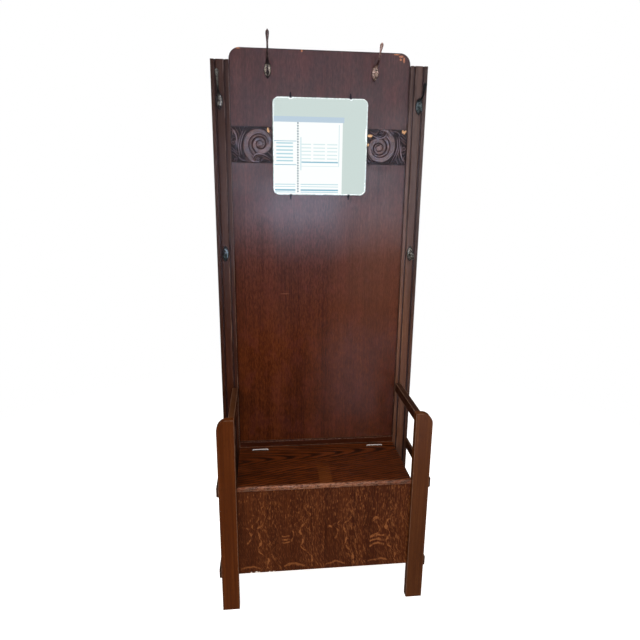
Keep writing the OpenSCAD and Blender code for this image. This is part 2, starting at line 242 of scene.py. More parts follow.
GREY_EDGE = (132, 102, 82)
DARK_EDGE = (30, 14, 9)
RAW_WOOD = (220, 174, 128)
# Dark for pores and joints, and for painted shade on the stiles' outer strips.
CREVICE_AND_SHADE_DARK = (16, 8, 5)


def grain_value(g, axis, seed, contrast):
    """Stained oak's figure from 0, dark, to 1, light, and the mask of its open pores."""
    broad = g.noise(g.stretched(axis, 0.10, seed), 16, 3, 0.55, 0.6)
    bands = g.noise(g.stretched(axis, 0.018, seed), 120, 4, 0.62)
    lines = g.noise(g.stretched(axis, 0.012, seed + 5), 300, 3, 0.6)
    pores = g.span(g.noise(g.stretched(axis, 0.035, seed + 9), 1500, 2, 0.6), 0.56, 0.66)
    value = broad * 0.38 + bands * 0.37 + lines * 0.25
    value = 0.5 + (value - 0.5) * contrast
    return g.least(g.most(value, 0.0), 1.0), pores


def finish_wood(g, colour, value, pores, gloss, relief=0.35, shine=0.5, speckle=0.0, dented=0.5):
    """Pores, roughness, bump and old lacquer, alike on every stained board."""
    colour = g.mix(pores * 0.45, colour, CREVICE_AND_SHADE_DARK)
    smears = g.noise(g.point, 9, 4, 0.65, 0.8)
    dull = g.span(smears, 0.3, 0.75, gloss - 0.06, gloss + 0.10) + pores * 0.15
    g.set(Base_Color=colour, Roughness=dull, Specular_IOR_Level=shine, Coat_Weight=0.1,
          Coat_Roughness=0.2)
    dents = g.noise(g.point, 45, 3, 0.6)
    height = value * 0.55 + dents * dented - pores * 0.5
    if speckle:
        height = height + g.noise(g.point, 520, 3, 0.65) * speckle
    g.bump(height, relief, 0.6 * MM)
    return g.material


def oak(name, node, tones, axis, seed, edge_wear_and_highlight, shine):
    """A straight-grained stained board with its edges lightened grey: partly wear, partly a painted
    highlight.
    """
    g = Graph(name)
    value, pores = grain_value(g, axis, seed, 1.5)
    dark, middle, light = tones
    colour = g.ramp(value, (0.12, dark), (0.5, middle), (0.88, light))
    low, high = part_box(node)
    ragged = (g.noise(g.point, 90, 4, 0.7) - 0.5) * 7 * MM
    edge = g.span(g.edge_distance(low, high) + ragged, 2.6 * MM, 0.2 * MM)
    # Edges lightened grey: partly wear, partly a painted highlight along the arrises.
    colour = g.mix(edge * edge_wear_and_highlight, colour, GREY_EDGE)
    return finish_wood(g, colour, value, pores, 0.42, shine=shine)


def panel_veneer(name):
    """The back: fine upright veneer, painted cooler and greyer above as a sheen, warm brown below, a
    lighter painted sheen right of the middle, dark edges, chips and one scratch.
    """
    g = Graph(name)
    value, pores = grain_value(g, "z", 3.0, 2.4)
    leaves = g.noise(g.stretched("z", 0.0, 31.0), 9, 1, 0.5)
    mottle = g.span(g.noise(g.stretched("z", 0.22, 33.0), 260, 4, 0.7), 0.34, 0.66)
    value = value * 0.55 + leaves * 0.13 + mottle * 0.32
    # The upper tones are painted cooler and greyer as a sheen; they pass into warm brown lower down.
    sheen_tones = g.ramp(value, (0.15, (30, 17, 15)), (0.5, (55, 31, 29)), (0.88, (84, 49, 45)))
    warm = g.ramp(value, (0.15, (40, 14, 3)), (0.5, (70, 29, 9)), (0.88, (100, 47, 18)))
    low_down = g.span(g.z, 1.50, 0.75) + (g.noise(g.point, 4, 2) - 0.5) * 0.3
    colour = g.mix(low_down, sheen_tones, warm)
    colour = g.mix(g.span(g.z, 0.95, 0.6, 0.0, 0.16), colour, (24, 6, 0))
    blush = g.span(g.noise(g.stretched("z", 0.6, 35.0), 26, 3, 0.6), 0.48, 0.66)
    colour = g.mix(blush * 0.14, colour, (100, 46, 42))

    corner = 34 * MM
    beyond_x = g.most(abs(g.x) - (PANEL_HIGH.x - corner), 0.0)
    beyond_z = g.most(g.z - (PANEL_HIGH.z - corner), 0.0)
    reach = g.length(g.join(beyond_x, beyond_z, 0.0))
    rim = g.span(reach + g.noise(g.point, 60, 3) * 3 * MM, corner - 3 * MM, corner + 0.5 * MM)
    colour = g.mix(rim * 0.8, colour, DARK_EDGE)

    def mark(across, up, half_w, half_h, *rest):
        """A patch on the panel's face, in millimetres from its middle and from the floor."""
        centre = (across * MM, PANEL_FACE, up * MM)
        return g.spot(centre, (half_w * MM, 4 * MM, half_h * MM), *rest)

    chips = g.most(
        mark(243, 1810.5, 9, 1.8, 1.6, 700.0),
        mark(258, 1805, 7, 3, 1.6, 700.0),
        mark(257, 1796, 3.4, 3.4, 1.6, 700.0),
        mark(268, 1795, 3, 8, 1.6, 700.0),
        mark(-61, 1811, 2.6, 3.6),
        mark(-259, 1812, 6, 1.6, 1.2),
    )
    bared = g.ramp(g.noise(g.point, 800, 3, 0.6), (0.42, (140, 78, 50)), (0.58, (214, 146, 104)))
    colour = g.mix(chips * 0.9, colour, bared)
    scratch = mark(-118, 1036, 17, 1, 1.0)
    colour = g.mix(scratch * 0.55, colour, (150, 92, 66))

    behind = g.span(g.y, PANEL_FACE + 4 * MM, PANEL_FACE + 10 * MM)
    colour = g.mix(behind, colour, g.ramp(value, (0.2, (92, 62, 40)), (0.8, (150, 112, 74))))
    low_right = g.span(g.x, -0.08, 0.12) * g.span(g.z, 1.0, 0.8)
    # A lighter patch right of the middle: a painted sheen.
    right_sheen = g.span(g.x, -0.02, 0.20) * g.band(g.z, 0.80, 1.05, 1.15, 1.42)
    colour = g.mix(right_sheen * 0.30, colour, (116, 72, 54))
    shine = g.span(g.z, 1.12, 1.36, 0.07, 0.55) + low_right * 0.35
    dull_left = g.span(g.x, -0.13, -0.19) * g.span(g.z, 1.42, 1.35)
    shine = shine * (1.0 - dull_left * 0.4)
    return finish_wood(g, colour, value, pores, 0.34, 0.5, shine, 1.8, 0.15)


def stile_oak(name, seed, upper_sheen_tones, low_tones, outer_shade, shine):
    """A stile: greyer above as a painted sheen, dark grooves, a painted highlight along the bands' edges,
    an outer strip in painted shade.
    """
    g = Graph(name)
    value, pores = grain_value(g, "z", seed, 1.6)
    places = (0.12, 0.5, 0.88)
    # The upper tones are greyer than the lower ones: a painted sheen.
    colour = g.mix(g.span(g.z, 1.45, 0.8), g.ramp(value, *zip(places, upper_sheen_tones)),
                   g.ramp(value, *zip(places, low_tones)))
    sunk = g.span(g.y, STILE_FACE + 0.6 * MM, STILE_FACE + 2.4 * MM)
    front = g.span(g.y, STILE_FACE + 12 * MM, STILE_FACE + 6 * MM)
    colour = g.mix(sunk * front * 0.9, colour, (32, 15, 13))
    from_inside = abs(g.x) - STILE_LOW.x
    # A painted highlight along the long edges of the middle band and the inner edge, broken here and there,
    # greyer higher up.
    arris_highlight = g.band(from_inside, 14.6 * MM, 15.2 * MM, 16.8 * MM, 18.2 * MM)
    wear_and_highlight = g.most(arris_highlight, g.span(from_inside, 2.2 * MM, 0.8 * MM))
    wear_and_highlight = wear_and_highlight * g.span(g.noise(g.stretched("z", 0.15, 51.0), 90, 3, 0.6), 0.36, 0.60)
    grey = g.mix(g.span(g.z, 1.30, 1.05), (126, 106, 102), (140, 104, 84))
    colour = g.mix(wear_and_highlight * 0.5, colour, grey)
    # The outer strip darkened as painted shade, more on the right stile.
    outer = g.band(from_inside, 43 * MM, 45 * MM, 54 * MM, 56.5 * MM)
    colour = g.mix(outer * outer_shade, colour, CREVICE_AND_SHADE_DARK)
    behind = g.span(g.y, STILE_FACE + 30 * MM, STILE_FACE + 36 * MM)
    colour = g.mix(behind * 0.6, colour, (88, 58, 38))
    return finish_wood(g, colour, value, pores, 0.40, shine=shine)


def cathedral(g, seed):
    """Flat-sawn rings along X: long arches about middle_y that straighten towards both edges."""
    middle_y, tip_x, tilt = 0.045, 0.05, 0.10
    sway = (g.noise(g.stretched("x", 0.35, seed), 7, 2, 0.5) - 0.5) * 40 * MM
    across = g.y - middle_y - g.x * tilt + sway
    rings = g.math("SQRT", across * across + 0.0003) * 82.0
    rings = rings + (g.x - tip_x) * 12.0
    rings = rings + g.noise(g.stretched("x", 0.12, seed + 2), 40, 3) * 0.9
    return g.math("FRACT", rings)


def seat_oak(name, seed):
    """The seat's boards: arched dark rings, a paler patch at the front, and a painted highlight of pale
    specks along the middle of the nose.
    """
    g = Graph(name)
    ring = cathedral(g, seed)
    fine, pores = grain_value(g, "x", seed, 1.8)
    late = g.band(ring, 0.14, 0.54, 0.84, 1.0)
    streaks = g.span(g.noise(g.stretched("x", 0.045, seed + 7), 230, 3, 0.65), 0.40, 0.58)
    value = late * 0.52 + fine * 0.14 + streaks * 0.34
    colour = g.ramp(value, (0.22, (20, 6, 1)), (0.54, (54, 20, 5)), (0.86, (96, 44, 14)))
    patch = g.band(g.x, -0.019, -0.015, 0.023, 0.027) * g.span(g.y, 0.03, -0.12)
    colour = g.mix(patch * 0.36, colour, (112, 60, 22))
    # The nose is painted lighter, with pale specks, towards its middle: a painted highlight.
    nose = g.span(g.y, SEAT_LOW.y + 9 * MM, SEAT_LOW.y + 2 * MM)
    lit = g.span(abs(g.x + 0.02), 0.30, 0.08, 0.40, 1.0)
    specks = g.span(g.noise(g.stretched("x", 0.45, seed + 4), 210, 3, 0.75), 0.40, 0.58)
    colour = g.mix(nose * 0.30 * lit, colour, (104, 54, 30))
    colour = g.mix(nose * specks * lit * 0.46, colour, (190, 134, 102))
    return finish_wood(g, colour, value, pores, 0.40, shine=0.3)


def ribbon(g, across, up, centre, sway, turns, width, low, high):
    """A wavering upright fleck: across and up run from 0 to 1 over one leaf of veneer."""
    line = centre + g.math("SINE", up * turns + centre * 20) * sway
    swell = g.most(0.6 + g.math("SINE", up * turns * 2.1) * 0.45, 0.15)
    off = abs(across - line)
    body = g.span(off, swell * width, swell * width * 0.5)
    return body * g.band(up, low, low + 0.03, high - 0.03, high)


def bars(g, across, up, left, right, low, high, count, bow):
    """A ladder of short level flecks, slightly bowed."""
    inside = g.band(across, left, left + 0.03, right - 0.03, right)
    bowed = up - g.math("SINE", (across - left) * math.pi / (right - left)) * bow
    band = g.band(bowed, low, low + 0.01, high - 0.01, high)
    rung = g.math("SINE", (bowed - low) * 2 * math.pi * count / (high - low))
    return inside * band * g.span(rung, -0.1, 0.45)


def figured_oak(name):
    """The front: four leaves of quarter-sawn veneer, alike but not the same, with bright flecks."""
    g = Graph(name)
    leaf = (FRONT_HIGH.x - FRONT_LOW.x) / 4
    place = (g.x - FRONT_LOW.x) / leaf
    number = g.math("FLOOR", place)
    along = place - number
    height = (g.z - FRONT_LOW.z) / (FRONT_HIGH.z - FRONT_LOW.z)
    own = g.join(along * leaf, number * 0.06, g.z)
    across = along + (g.noise(own, 26, 3, 0.6) - 0.5) * 0.20
    up = height + (g.noise(own, 34, 2) - 0.5) * 0.07
    leaning = across - g.most(0.32 - up, 0.0) * 0.9

    upright = g.vector("MULTIPLY", own, (1.0, 1.0, 0.34))
    shifted = g.vector("ADD", upright, (0.3, 0.5, 0.2))
    small = g.least(g.cells(upright, 116), g.cells(shifted, 96))
    drops = g.span(small, 0.23, 0.15) * g.span(up, 0.46, 0.66)
    shear = g.math("POWER", 1.0 - g.least(height, 1.0), 2.0) * 0.05
    slanted = g.join(along * leaf - shear, number * 0.13, g.z * 0.13)
    dashes = g.span(g.noise(slanted, 440, 2, 0.5, 0.2), 0.54, 0.60)
    dashes = dashes * g.span(abs(across - 0.84), 0.60, 0.20, 0.45, 1.0)
    second, third, fourth = [g.math("COMPARE", number, float(k), 0.1) for k in (1, 2, 3)]
    flecks = g.most(
        drops * 0.72,
        dashes * 0.62,
        ribbon(g, leaning, up, 0.49, 0.045, 27.0, 0.036, 0.02, 0.60) * 0.95,
        ribbon(g, leaning, up, 0.70, 0.035, 19.0, 0.016, 0.00, 0.42) * 0.7,
        ribbon(g, across, up, 0.27, 0.035, 33.0, 0.030, 0.35, 0.58) * 0.85,
        ribbon(g, across, up, 0.40, 0.085, 38.0, 0.018, 0.50, 0.74) * 0.8,
        ribbon(g, across, up, 0.60, 0.060, 31.0, 0.015, 0.46, 0.84) * 0.75,
        second * bars(g, along, up, -0.01, 0.20, 0.35, 0.47, 3, 0.0),
        fourth * bars(g, along, up, 0.06, 0.44, 0.24, 0.42, 3, 0.02),
        fourth * bars(g, along, up, 0.12, 0.31, 0.55, 0.64, 1, 0.025),
        third * bars(g, along, up, 0.06, 0.18, 0.50, 0.57, 1, 0.01),
        bars(g, across, up, 0.04, 0.52, 0.03, 0.09, 1, 0.035) * 0.75,
    )
    flecks = flecks * g.span(g.noise(g.stretched("z", 0.5, 7.0), 130, 3, 0.65), 0.36, 0.54, 0.28, 1.0)

    value, pores = grain_value(g, "z", 12.0, 1.7)
    stripes = g.span(g.noise(g.stretched("z", 0.02, 2.0), 340, 1, 0.5), 0.35, 0.65)
    value = value * 0.80 + stripes * 0.20
    colour = g.ramp(value, (0.12, (40, 13, 2)), (0.5, (64, 26, 6)), (0.88, (88, 42, 12)))
    colour = g.mix(flecks, colour, (132, 76, 38))
    seam = g.span(abs(g.math("FRACT", place + 0.5) - 0.5), 0.006, 0.0)
    colour = g.mix(seam * 0.4, colour, CREVICE_AND_SHADE_DARK)
    foot = FRONT_LOW.z + 1 * MM
    chip_sizes = ((-248, 3.6), (-230, 5.4), (-221, 3.0), (-186, 3.4), (-172, 2.4))
    chips = g.most(*[g.spot((across * MM, FRONT_LOW.y, foot), (w * MM, 6 * MM, 0.9 * w * MM), 1.3)
                     for across, w in chip_sizes])
    colour = g.mix(chips, colour, (236, 222, 208))
    edge = g.span(g.z - foot, 3.5 * MM, 0.0)
    colour = g.mix(edge * 0.35, colour, (120, 84, 60))
    return finish_wood(g, colour, value * 0.8 + flecks * 0.2, pores, 0.40, shine=0.12)


def carved_oak(name, chips):
    """The friezes: crevices darkened as painted shade, high parts lightened as a painted highlight, and raw
    chips.
    """
    g = Graph(name)
    raised = PANEL_FACE - g.y
    value, pores = grain_value(g, "x", 21.0, 2.0)
    ragged_height = raised + (g.noise(g.point, 170, 4, 0.7) - 0.5) * 1.4 * MM
    stain = g.ramp(value, (0.2, (44, 31, 33)), (0.8, (88, 64, 64)))
    patches = g.noise(g.point, 42, 4, 0.65)
    stain = g.mix(g.span(patches, 0.52, 0.62, 0.0, 0.55), stain, (104, 72, 66))
    stain = g.mix(g.span(patches, 0.48, 0.38, 0.0, 0.55), stain, (62, 61, 76))
    # High parts lightened as a painted highlight.
    colour = g.mix(g.span(ragged_height, 4.6 * MM, 5.5 * MM, 0.0, 0.6), stain, (140, 130, 144))
    # Low parts darkened as painted shade.
    colour = g.mix(g.span(ragged_height, 3.9 * MM, 2.0 * MM, 0.0, 0.92), colour, (20, 16, 19))
    for centre, size in chips:
        colour = g.mix(g.spot(centre, size, 1.0, 300.0), colour, RAW_WOOD)
    finish_wood(g, colour, value, pores, 0.34, 0.45, speckle=1.5)
    g.set(Roughness=g.span(ragged_height, 1.5 * MM, 4.5 * MM, 0.75, 0.30), Specular_IOR_Level=0.75)
    return g.material


def plain_wood(name, axis, seed):
    """Unstained softwood, darkened with age."""
    g = Graph(name)
    value, pores = grain_value(g, axis, seed, 2.8)
    colour = g.ramp(value, (0.1, (104, 74, 46)), (0.5, (140, 104, 68)), (0.9, (172, 134, 92)))
    dark_patches = g.span(g.noise(g.point, 12, 4, 0.7), 0.45, 0.75)
    colour = g.mix(dark_patches * 0.4, colour, (74, 54, 38))
    return finish_wood(g, colour, value, pores, 0.68)


# ---- metals, glass and card

GLASS_CORNER = 19 * MM


def old_metal(name, dark, middle, bright, gloss, seed, metallic, shine=0.5):
    """Aged cast or rolled metal: a mottled skin with brighter rubbed parts."""
    g = Graph(name)
    patches = g.noise(g.vector("ADD", g.point, (seed, seed, seed)), 130, 4, 0.65, 0.4)
    wear_and_highlight = g.noise(g.vector("ADD", g.point, (seed, 2 * seed, 0.0)), 420, 3, 0.6)
    value = patches * 0.65 + wear_and_highlight * 0.35
    g.set(Base_Color=g.ramp(value, (0.36, dark), (0.5, middle), (0.64, bright)), Metallic=metallic,
          Roughness=g.span(value, 0.35, 0.65, gloss + 0.14, gloss - 0.06), Specular_IOR_Level=shine)
    g.bump(wear_and_highlight, 0.3, 0.3 * MM)
    return g.material


def hinge_steel(name, pin):
    """A leaf of a hinge: a painted highlight along the top of its knuckles, and the rest is dull brown."""
    g = Graph(name)
    low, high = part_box(pin)
    patches = g.noise(g.vector("ADD", g.point, (2.1, 2.1, 2.1)), 300, 4, 0.65, 0.4)
    from_line = abs(g.y - (low.y + high.y) / 2)
    # A painted highlight along the top of the knuckle.
    bright = g.span(from_line, 2.4 * MM, 1.4 * MM) * g.span(g.z, high.z - 2.0 * MM, high.z - 0.8 * MM)
    dull = g.ramp(patches, (0.36, (44, 26, 16)), (0.64, (92, 72, 58)))
    clean = g.ramp(patches, (0.30, (206, 200, 194)), (0.56, (250, 248, 244)))
    g.set(Base_Color=g.mix(bright, dull, clean), Metallic=0.1,
          Roughness=g.span(patches, 0.35, 0.65, 0.44, 0.28))
    g.bump(patches, 0.3, 0.3 * MM)
    return g.material


def mirror_silver(name):
    """Old silvering: clean in the middle, with dark specks and a broken bright rim line."""
    g = Graph(name)
    middle = (GLASS_LOW + GLASS_HIGH) / 2
    half = (GLASS_HIGH - GLASS_LOW) / 2
    beyond_x = g.most(abs(g.x - middle.x) - (half.x - GLASS_CORNER), 0.0)
    beyond_z = g.most(abs(g.z - middle.z) - (half.z - GLASS_CORNER), 0.0)
    inward = GLASS_CORNER - g.length(g.join(beyond_x, beyond_z, 0.0))
    scallop = g.noise(g.point, 120, 4, 0.7) * 4.5 * MM
    rim = g.span(inward - scallop, 1.4 * MM, 0.2 * MM)

    def mark(across, down, half_w, half_h, *rest):
        """A patch on the glass, in millimetres from its top left corner."""
        centre = (GLASS_LOW.x + across * MM, GLASS_LOW.y, GLASS_HIGH.z - down * MM)
        return g.spot(centre, (half_w * MM, 9 * MM, half_h * MM), *rest)

    right = (GLASS_HIGH.x - GLASS_LOW.x) / MM
    rim = g.most(rim, mark(58, 3, 7, 4, 1.5), mark(252, 3, 6, 3.4, 1.5), mark(right - 3, 110, 4, 22, 1.4))
    specks = g.span(g.noise(g.point, 520, 2, 0.6), 0.66, 0.70) * mark(16, 24, 16, 28, 0.8, 90.0)
    colour = g.mix(rim, (247, 250, 249), (236, 244, 242))
    colour = g.mix(specks * 0.7, colour, (70, 84, 78))
    g.set(Base_Color=colour, Metallic=g.span(rim, 0.0, 1.0, 1.0, 0.15),
          Roughness=g.span(rim, 0.0, 1.0, 0.0, 0.45) + specks * 0.3)
    g.bump(rim * 0.6 + g.noise(g.point, 3, 1) * 0.02, 0.10, 0.5 * MM)
    return g.material


def glass_edge(name):
    """The ground edge of the plate: pale, green-grey and finely chipped."""
    g = Graph(name)
    chipped = g.noise(g.point, 260, 4, 0.7)
    g.set(Base_Color=g.ramp(chipped, (0.35, (150, 176, 170)), (0.6, (238, 245, 243))),
          Roughness=g.span(chipped, 0.3, 0.7, 0.2, 0.5))
    g.bump(chipped, 0.5, 0.8 * MM)
    return g.material


def backing_card(name):
    """Plain grey-brown board behind the glass."""
    g = Graph(name)
    fibres = g.noise(g.point, 600, 4, 0.7)
    g.set(Base_Color=g.ramp(fibres, (0.3, (58, 52, 46)), (0.7, (92, 84, 74))), Roughness=0.9)
    g.bump(fibres, 0.3, 0.3 * MM)
    return g.material


# ---- mesh building

def link(item):
    """Puts an object in the scene."""
    bpy.context.scene.collection.objects.link(item)


def new_object(name, points, faces, material):
    """A mesh object in the scene."""
    mesh = bpy.data.meshes.new(name)
    mesh.from_pydata([tuple(p) for p in points], [], faces)
    mesh.materials.append(material)
    item = bpy.data.objects.new(name, mesh)
    link(item)
    return item


def new_piece(name, points, faces, material, slot, node):
    """A smooth piece that rides on the fixed frame in the place of one CAD node."""
    piece = new_object(name, points, faces, material)
    piece.data.validate()
    piece.data.update()
    piece.data.shade_smooth()
    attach(piece, "frame")
    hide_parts(node)
    return piece


def bezier(p, t):
    """Points on a cubic curve with the control points p, at the shares t of its length."""
    t = np.asarray(t)[:, None]
    p = [np.array(q, float) for q in p]
    return (1 - t) ** 3 * p[0] + 3 * (1 - t) ** 2 * t * p[1] + 3 * (1 - t) * t * t * p[2] + t ** 3 * p[3]


def rings_to_mesh(rings):
    """Joins equal rings of points into a closed tube; returns points and faces."""
    count = len(rings[0])
    points = [p for ring in rings for p in ring]
    faces = []
    for start in range(0, len(points) - count, count):
        for k in range(count):
            a, b = start + k, start + (k + 1) % count
            faces.append([a, b, b + count, a + count])
    faces.append(list(range(count))[::-1])
    faces.append(list(range(len(points) - count, len(points))))
    return points, faces


def sweep(path, wide, deep):
    """An oval swept along a curve in Y and Z; wide and deep give its half-sizes along the way."""
    steps, sides = 44, 20
    t = np.linspace(0, 1, steps)
    centre = bezier(path, t)
    along = np.gradient(centre, axis=0)
    along /= np.linalg.norm(along, axis=1)[:, None]
    half_w = np.interp(t, *zip(*wide))
    half_d = np.interp(t, *zip(*deep))
    rounded = np.maximum(np.sqrt(np.clip((1 - t) / 0.05, 0, 1)), 0.25)
    rings = []
    for c, d, w, h in zip(centre, along, half_w * rounded, half_d * rounded):
        ring = []
        for a in np.linspace(0, 2 * math.pi, sides, endpoint=False):
            lift = math.sin(a) * h
            ring.append((math.cos(a) * w, c[0] - d[1] * lift, c[1] + d[0] * lift))
        rings.append(ring)
    return rings_to_mesh(rings)


def joined(*meshes):
    """Several meshes as one."""
    points, faces = [], []
    for more_points, more_faces in meshes:
        faces += [[i + len(points) for i in face] for face in more_faces]
        points += list(more_points)
    return points, faces


# ---- hooks

PLATE_W, PLATE_H = 24.0, 56.0
SCREW_Z = (8.0, -19.0)


def plate_mesh():
    """A pointed oval plate with a rolled rim round a sunk, slightly domed field."""
    radius = ((PLATE_H / 2) ** 2 + (PLATE_W / 2) ** 2) / PLATE_W
    z = PLATE_H / 2 * np.sin(np.linspace(-math.pi / 2, math.pi / 2, 33))
    x = np.sqrt(radius ** 2 - z ** 2) - (radius - PLATE_W / 2)
    outline = list(zip(x, z)) + list(zip(-x[-2:0:-1], z[-2:0:-1]))
    profile = [(1.0, 0.0), (1.0, 1.4), (0.965, 2.5), (0.90, 3.0), (0.83, 2.6), (0.76, 1.7),
               (0.55, 1.9), (0.30, 2.2), (0.04, 2.3)]
    rings = [[(px * s, -height, pz * s) for px, pz in outline] for s, height in profile]
    return rings_to_mesh(rings)


def prong_mesh(rise, reach):
    """The long prong, dished and flattened at its tip."""
    return sweep([[-1, 18], [-0.75 * reach, 17], [-0.62 * reach, 0.55 * rise], [-reach + 2, rise - 2]],
                 [(0, 6.4), (0.08, 5.2), (0.35, 3.2), (0.75, 3.0), (0.90, 5.6), (0.96, 5.4), (1, 3.4)],
                 [(0, 4.4), (0.35, 3), (0.75, 2.4), (0.92, 1.9), (1, 1.8)])


def curl_mesh(reach, tip):
    """The short prong, turned up at its end."""
    return sweep([[-1, -4], [-0.45 * reach, -8], [-0.95 * reach, -34], [-reach, tip]],
                 [(0, 4.6), (0.1, 3.8), (0.5, 3), (0.85, 4.4), (1, 2.8)],
                 [(0, 4.2), (0.5, 2.8), (0.85, 3.4), (1, 2.2)])


def as_casting(piece):
    """Melts the piece's overlapping parts into one closed skin, and keeps the result."""
    remesh = piece.modifiers.new("melt", "REMESH")
    remesh.mode, remesh.voxel_size = "VOXEL", 0.55 * MM
    relax = piece.modifiers.new("relax", "SMOOTH")
    relax.factor, relax.iterations = 0.5, 2
    material = piece.data.materials[0]
    graph = bpy.context.evaluated_depsgraph_get()
    mesh = bpy.data.meshes.new_from_object(piece.evaluated_get(graph))
    piece.modifiers.clear()
    piece.data = mesh
    mesh.materials.clear()
    mesh.materials.append(material)
    mesh.shade_smooth()


def hook_frame(node, lean):
    """Places a hook's own axes, in millimetres from the middle of its plate's back."""
    low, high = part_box(node)
    if lean:
        x = low.x + PLATE_W / 2 * MM
    else:
        x = (low.x + high.x) / 2
    middle = Vector((x, high.y, low.z + PLATE_H / 2 * MM))
    return Matrix.Translation(middle) @ Matrix.Rotation(math.radians(lean), 4, "Y") @ Matrix.Scale(MM, 4)


def placed(place, mesh):
    """A mesh of points and faces, moved by a matrix."""
    points, faces = mesh
    return [place @ Vector(p) for p in points], faces


def make_hook(node, prongs, lean, material, slot):
    """One casting of a plate and its prongs; returns the hook's own axes."""
    place = hook_frame(node, lean)
    mesh = placed(place, joined(plate_mesh(), *prongs))
    as_casting(new_piece(node + "_casting", *mesh, material, slot, node))
    return place


def screw_head_mesh(radius, height, slot_turn):
    """A slotted, domed head standing on z = 0."""
    steps, sides = 12, 40
    angles = np.linspace(0, 2 * math.pi, sides, endpoint=False)
    rings = [[(radius * math.cos(a), radius * math.sin(a), 0.0) for a in angles]]
    for i in range(steps + 1):
        share = 1 - i / steps * 0.98
        lift = height * math.sqrt(1 - (0.92 * share) ** 2) + 0.15 * height
        ring = []
        for a in angles:
            x, y = share * radius * math.cos(a), share * radius * math.sin(a)
            off = abs(x * math.sin(slot_turn) - y * math.cos(slot_turn))
            ring.append((x, y, lift - 0.45 * height * (off < 0.14 * radius)))
        rings.append(ring)
    return rings_to_mesh(rings)


def hook_metal(node, lean, tones, seed, dark_patches, depth):
    """Old cast metal: dark low on the shaft, lighter at its tip, and a rubbed ring on the plate. The dark
    patches are spots on the plate, partly painted shade and partly dark holes: where they are and their
    half-sizes."""
    g = Graph("metal_" + node)
    place = hook_frame(node, lean)
    low, tip, ring = tones
    patches = g.noise(g.vector("ADD", g.point, (seed, seed, seed)), 240, 4, 0.65, 0.4)
    wear_and_highlight = g.noise(g.vector("ADD", g.point, (seed, 2 * seed, 0.0)), 520, 3, 0.6)
    value = patches * 0.5 + wear_and_highlight * 0.5
    stops = (0.42, 0.5, 0.58)
    middle = place @ Vector((0, 0, 0))
    rise = g.span(g.z, middle.z + 18 * MM, middle.z + 66 * MM)
    colour = g.mix(rise, g.ramp(value, *zip(stops, low)), g.ramp(value, *zip(stops, tip)))

    def mark(across, up, half_w, half_d, half_h, *rest):
        """A patch on the plate, in millimetres from its middle."""
        return g.spot(place @ Vector((across, -1.5, up)), (half_w * MM, half_d * MM, half_h * MM), *rest)

    near = mark(0, -1, 9.8, depth, 20, 0.35, 500.0)
    colour = g.mix(near, colour, g.ramp(value, *zip(stops, ring)))
    # Dark spots on the plate: partly painted shade, partly dark holes.
    for across, up, half_w, half_h in dark_patches:
        spot = mark(across, up, half_w, 4.6, half_h, 0.5, 900.0)
        colour = g.mix(spot * 0.92, colour, (26, 16, 16))
    g.set(Base_Color=colour, Metallic=0.45, Roughness=g.span(value, 0.35, 0.65, 0.46, 0.26))
    g.bump(wear_and_highlight, 0.3, 0.3 * MM)
    return g.material


# Each hook metal: three tones for the shaft low down, three for its tip and three for the plate.
BRONZE = (((12, 9, 11), (28, 22, 24), (70, 58, 56)),
          ((34, 26, 26), (78, 62, 60), (140, 118, 112)),
          ((40, 34, 32), (126, 114, 102), (214, 200, 182)))
COPPER = (((26, 14, 16), (56, 34, 36), (104, 70, 66)),
          ((100, 66, 58), (176, 136, 124), (232, 204, 194)),
          ((40, 22, 20), (156, 122, 106), (238, 216, 200)))
IRON = (((12, 11, 12), (30, 28, 29), (62, 58, 56)),
        ((44, 41, 38), (92, 88, 82), (142, 138, 128)),
        ((38, 36, 36), (96, 92, 87), (166, 162, 152)))
DARK_IRON = (((10, 10, 12), (22, 22, 24), (50, 50, 52)),
             ((16, 16, 18), (34, 34, 36), (66, 66, 66)),
             ((20, 25, 27), (52, 64, 66), (110, 122, 122)))
BLACK_IRON = (((10, 10, 10), (24, 23, 21), (54, 52, 48)),
              ((14, 13, 12), (32, 31, 28), (66, 63, 58)),
              ((18, 17, 15), (62, 59, 53), (168, 162, 146)))

# Dark patches on a plate, in millimetres from its middle: across, up, half-width and half-height. They are
# partly painted shade, under the prongs and down one side of the plate, and partly dark holes.
KEYHOLE = ((0, 7, 3.0, 6.5), (0, -2, 2.2, 6.5))
TWO_SCREWS = ((3.5, 8, 2.4, 3.0), (-3.5, -3, 2.4, 3.0))
ONE_SIDE = ((-8, 0, 7.0, 30), (-1, -22, 14, 9), (3, 1, 1.6, 3.0))
PLATE_ONLY, WHOLE_HOOK = 4.2, 60

# Node, rise and reach of the long prong, lean in degrees, metal, dark patches (partly painted shade), depth
# of the rubbed ring, slot.
TALL_HOOKS = (
    ("hook_top_left", 101, 66, 0, BRONZE, KEYHOLE, PLATE_ONLY, "aged_bronze"),
    ("hook_top_right", 75, 72, 4, COPPER, TWO_SCREWS, WHOLE_HOOK, "aged_copper"),
    ("hook_side_left", 85, 62, 0, IRON, ONE_SIDE, WHOLE_HOOK, "aged_bronze"),
    ("hook_side_right", 63, 68, 0, DARK_IRON, TWO_SCREWS, WHOLE_HOOK, "aged_bronze"),
)
COAT_HOOKS = (("coat_hook_left", DARK_IRON, ONE_SIDE), ("coat_hook_right", BLACK_IRON, TWO_SCREWS))


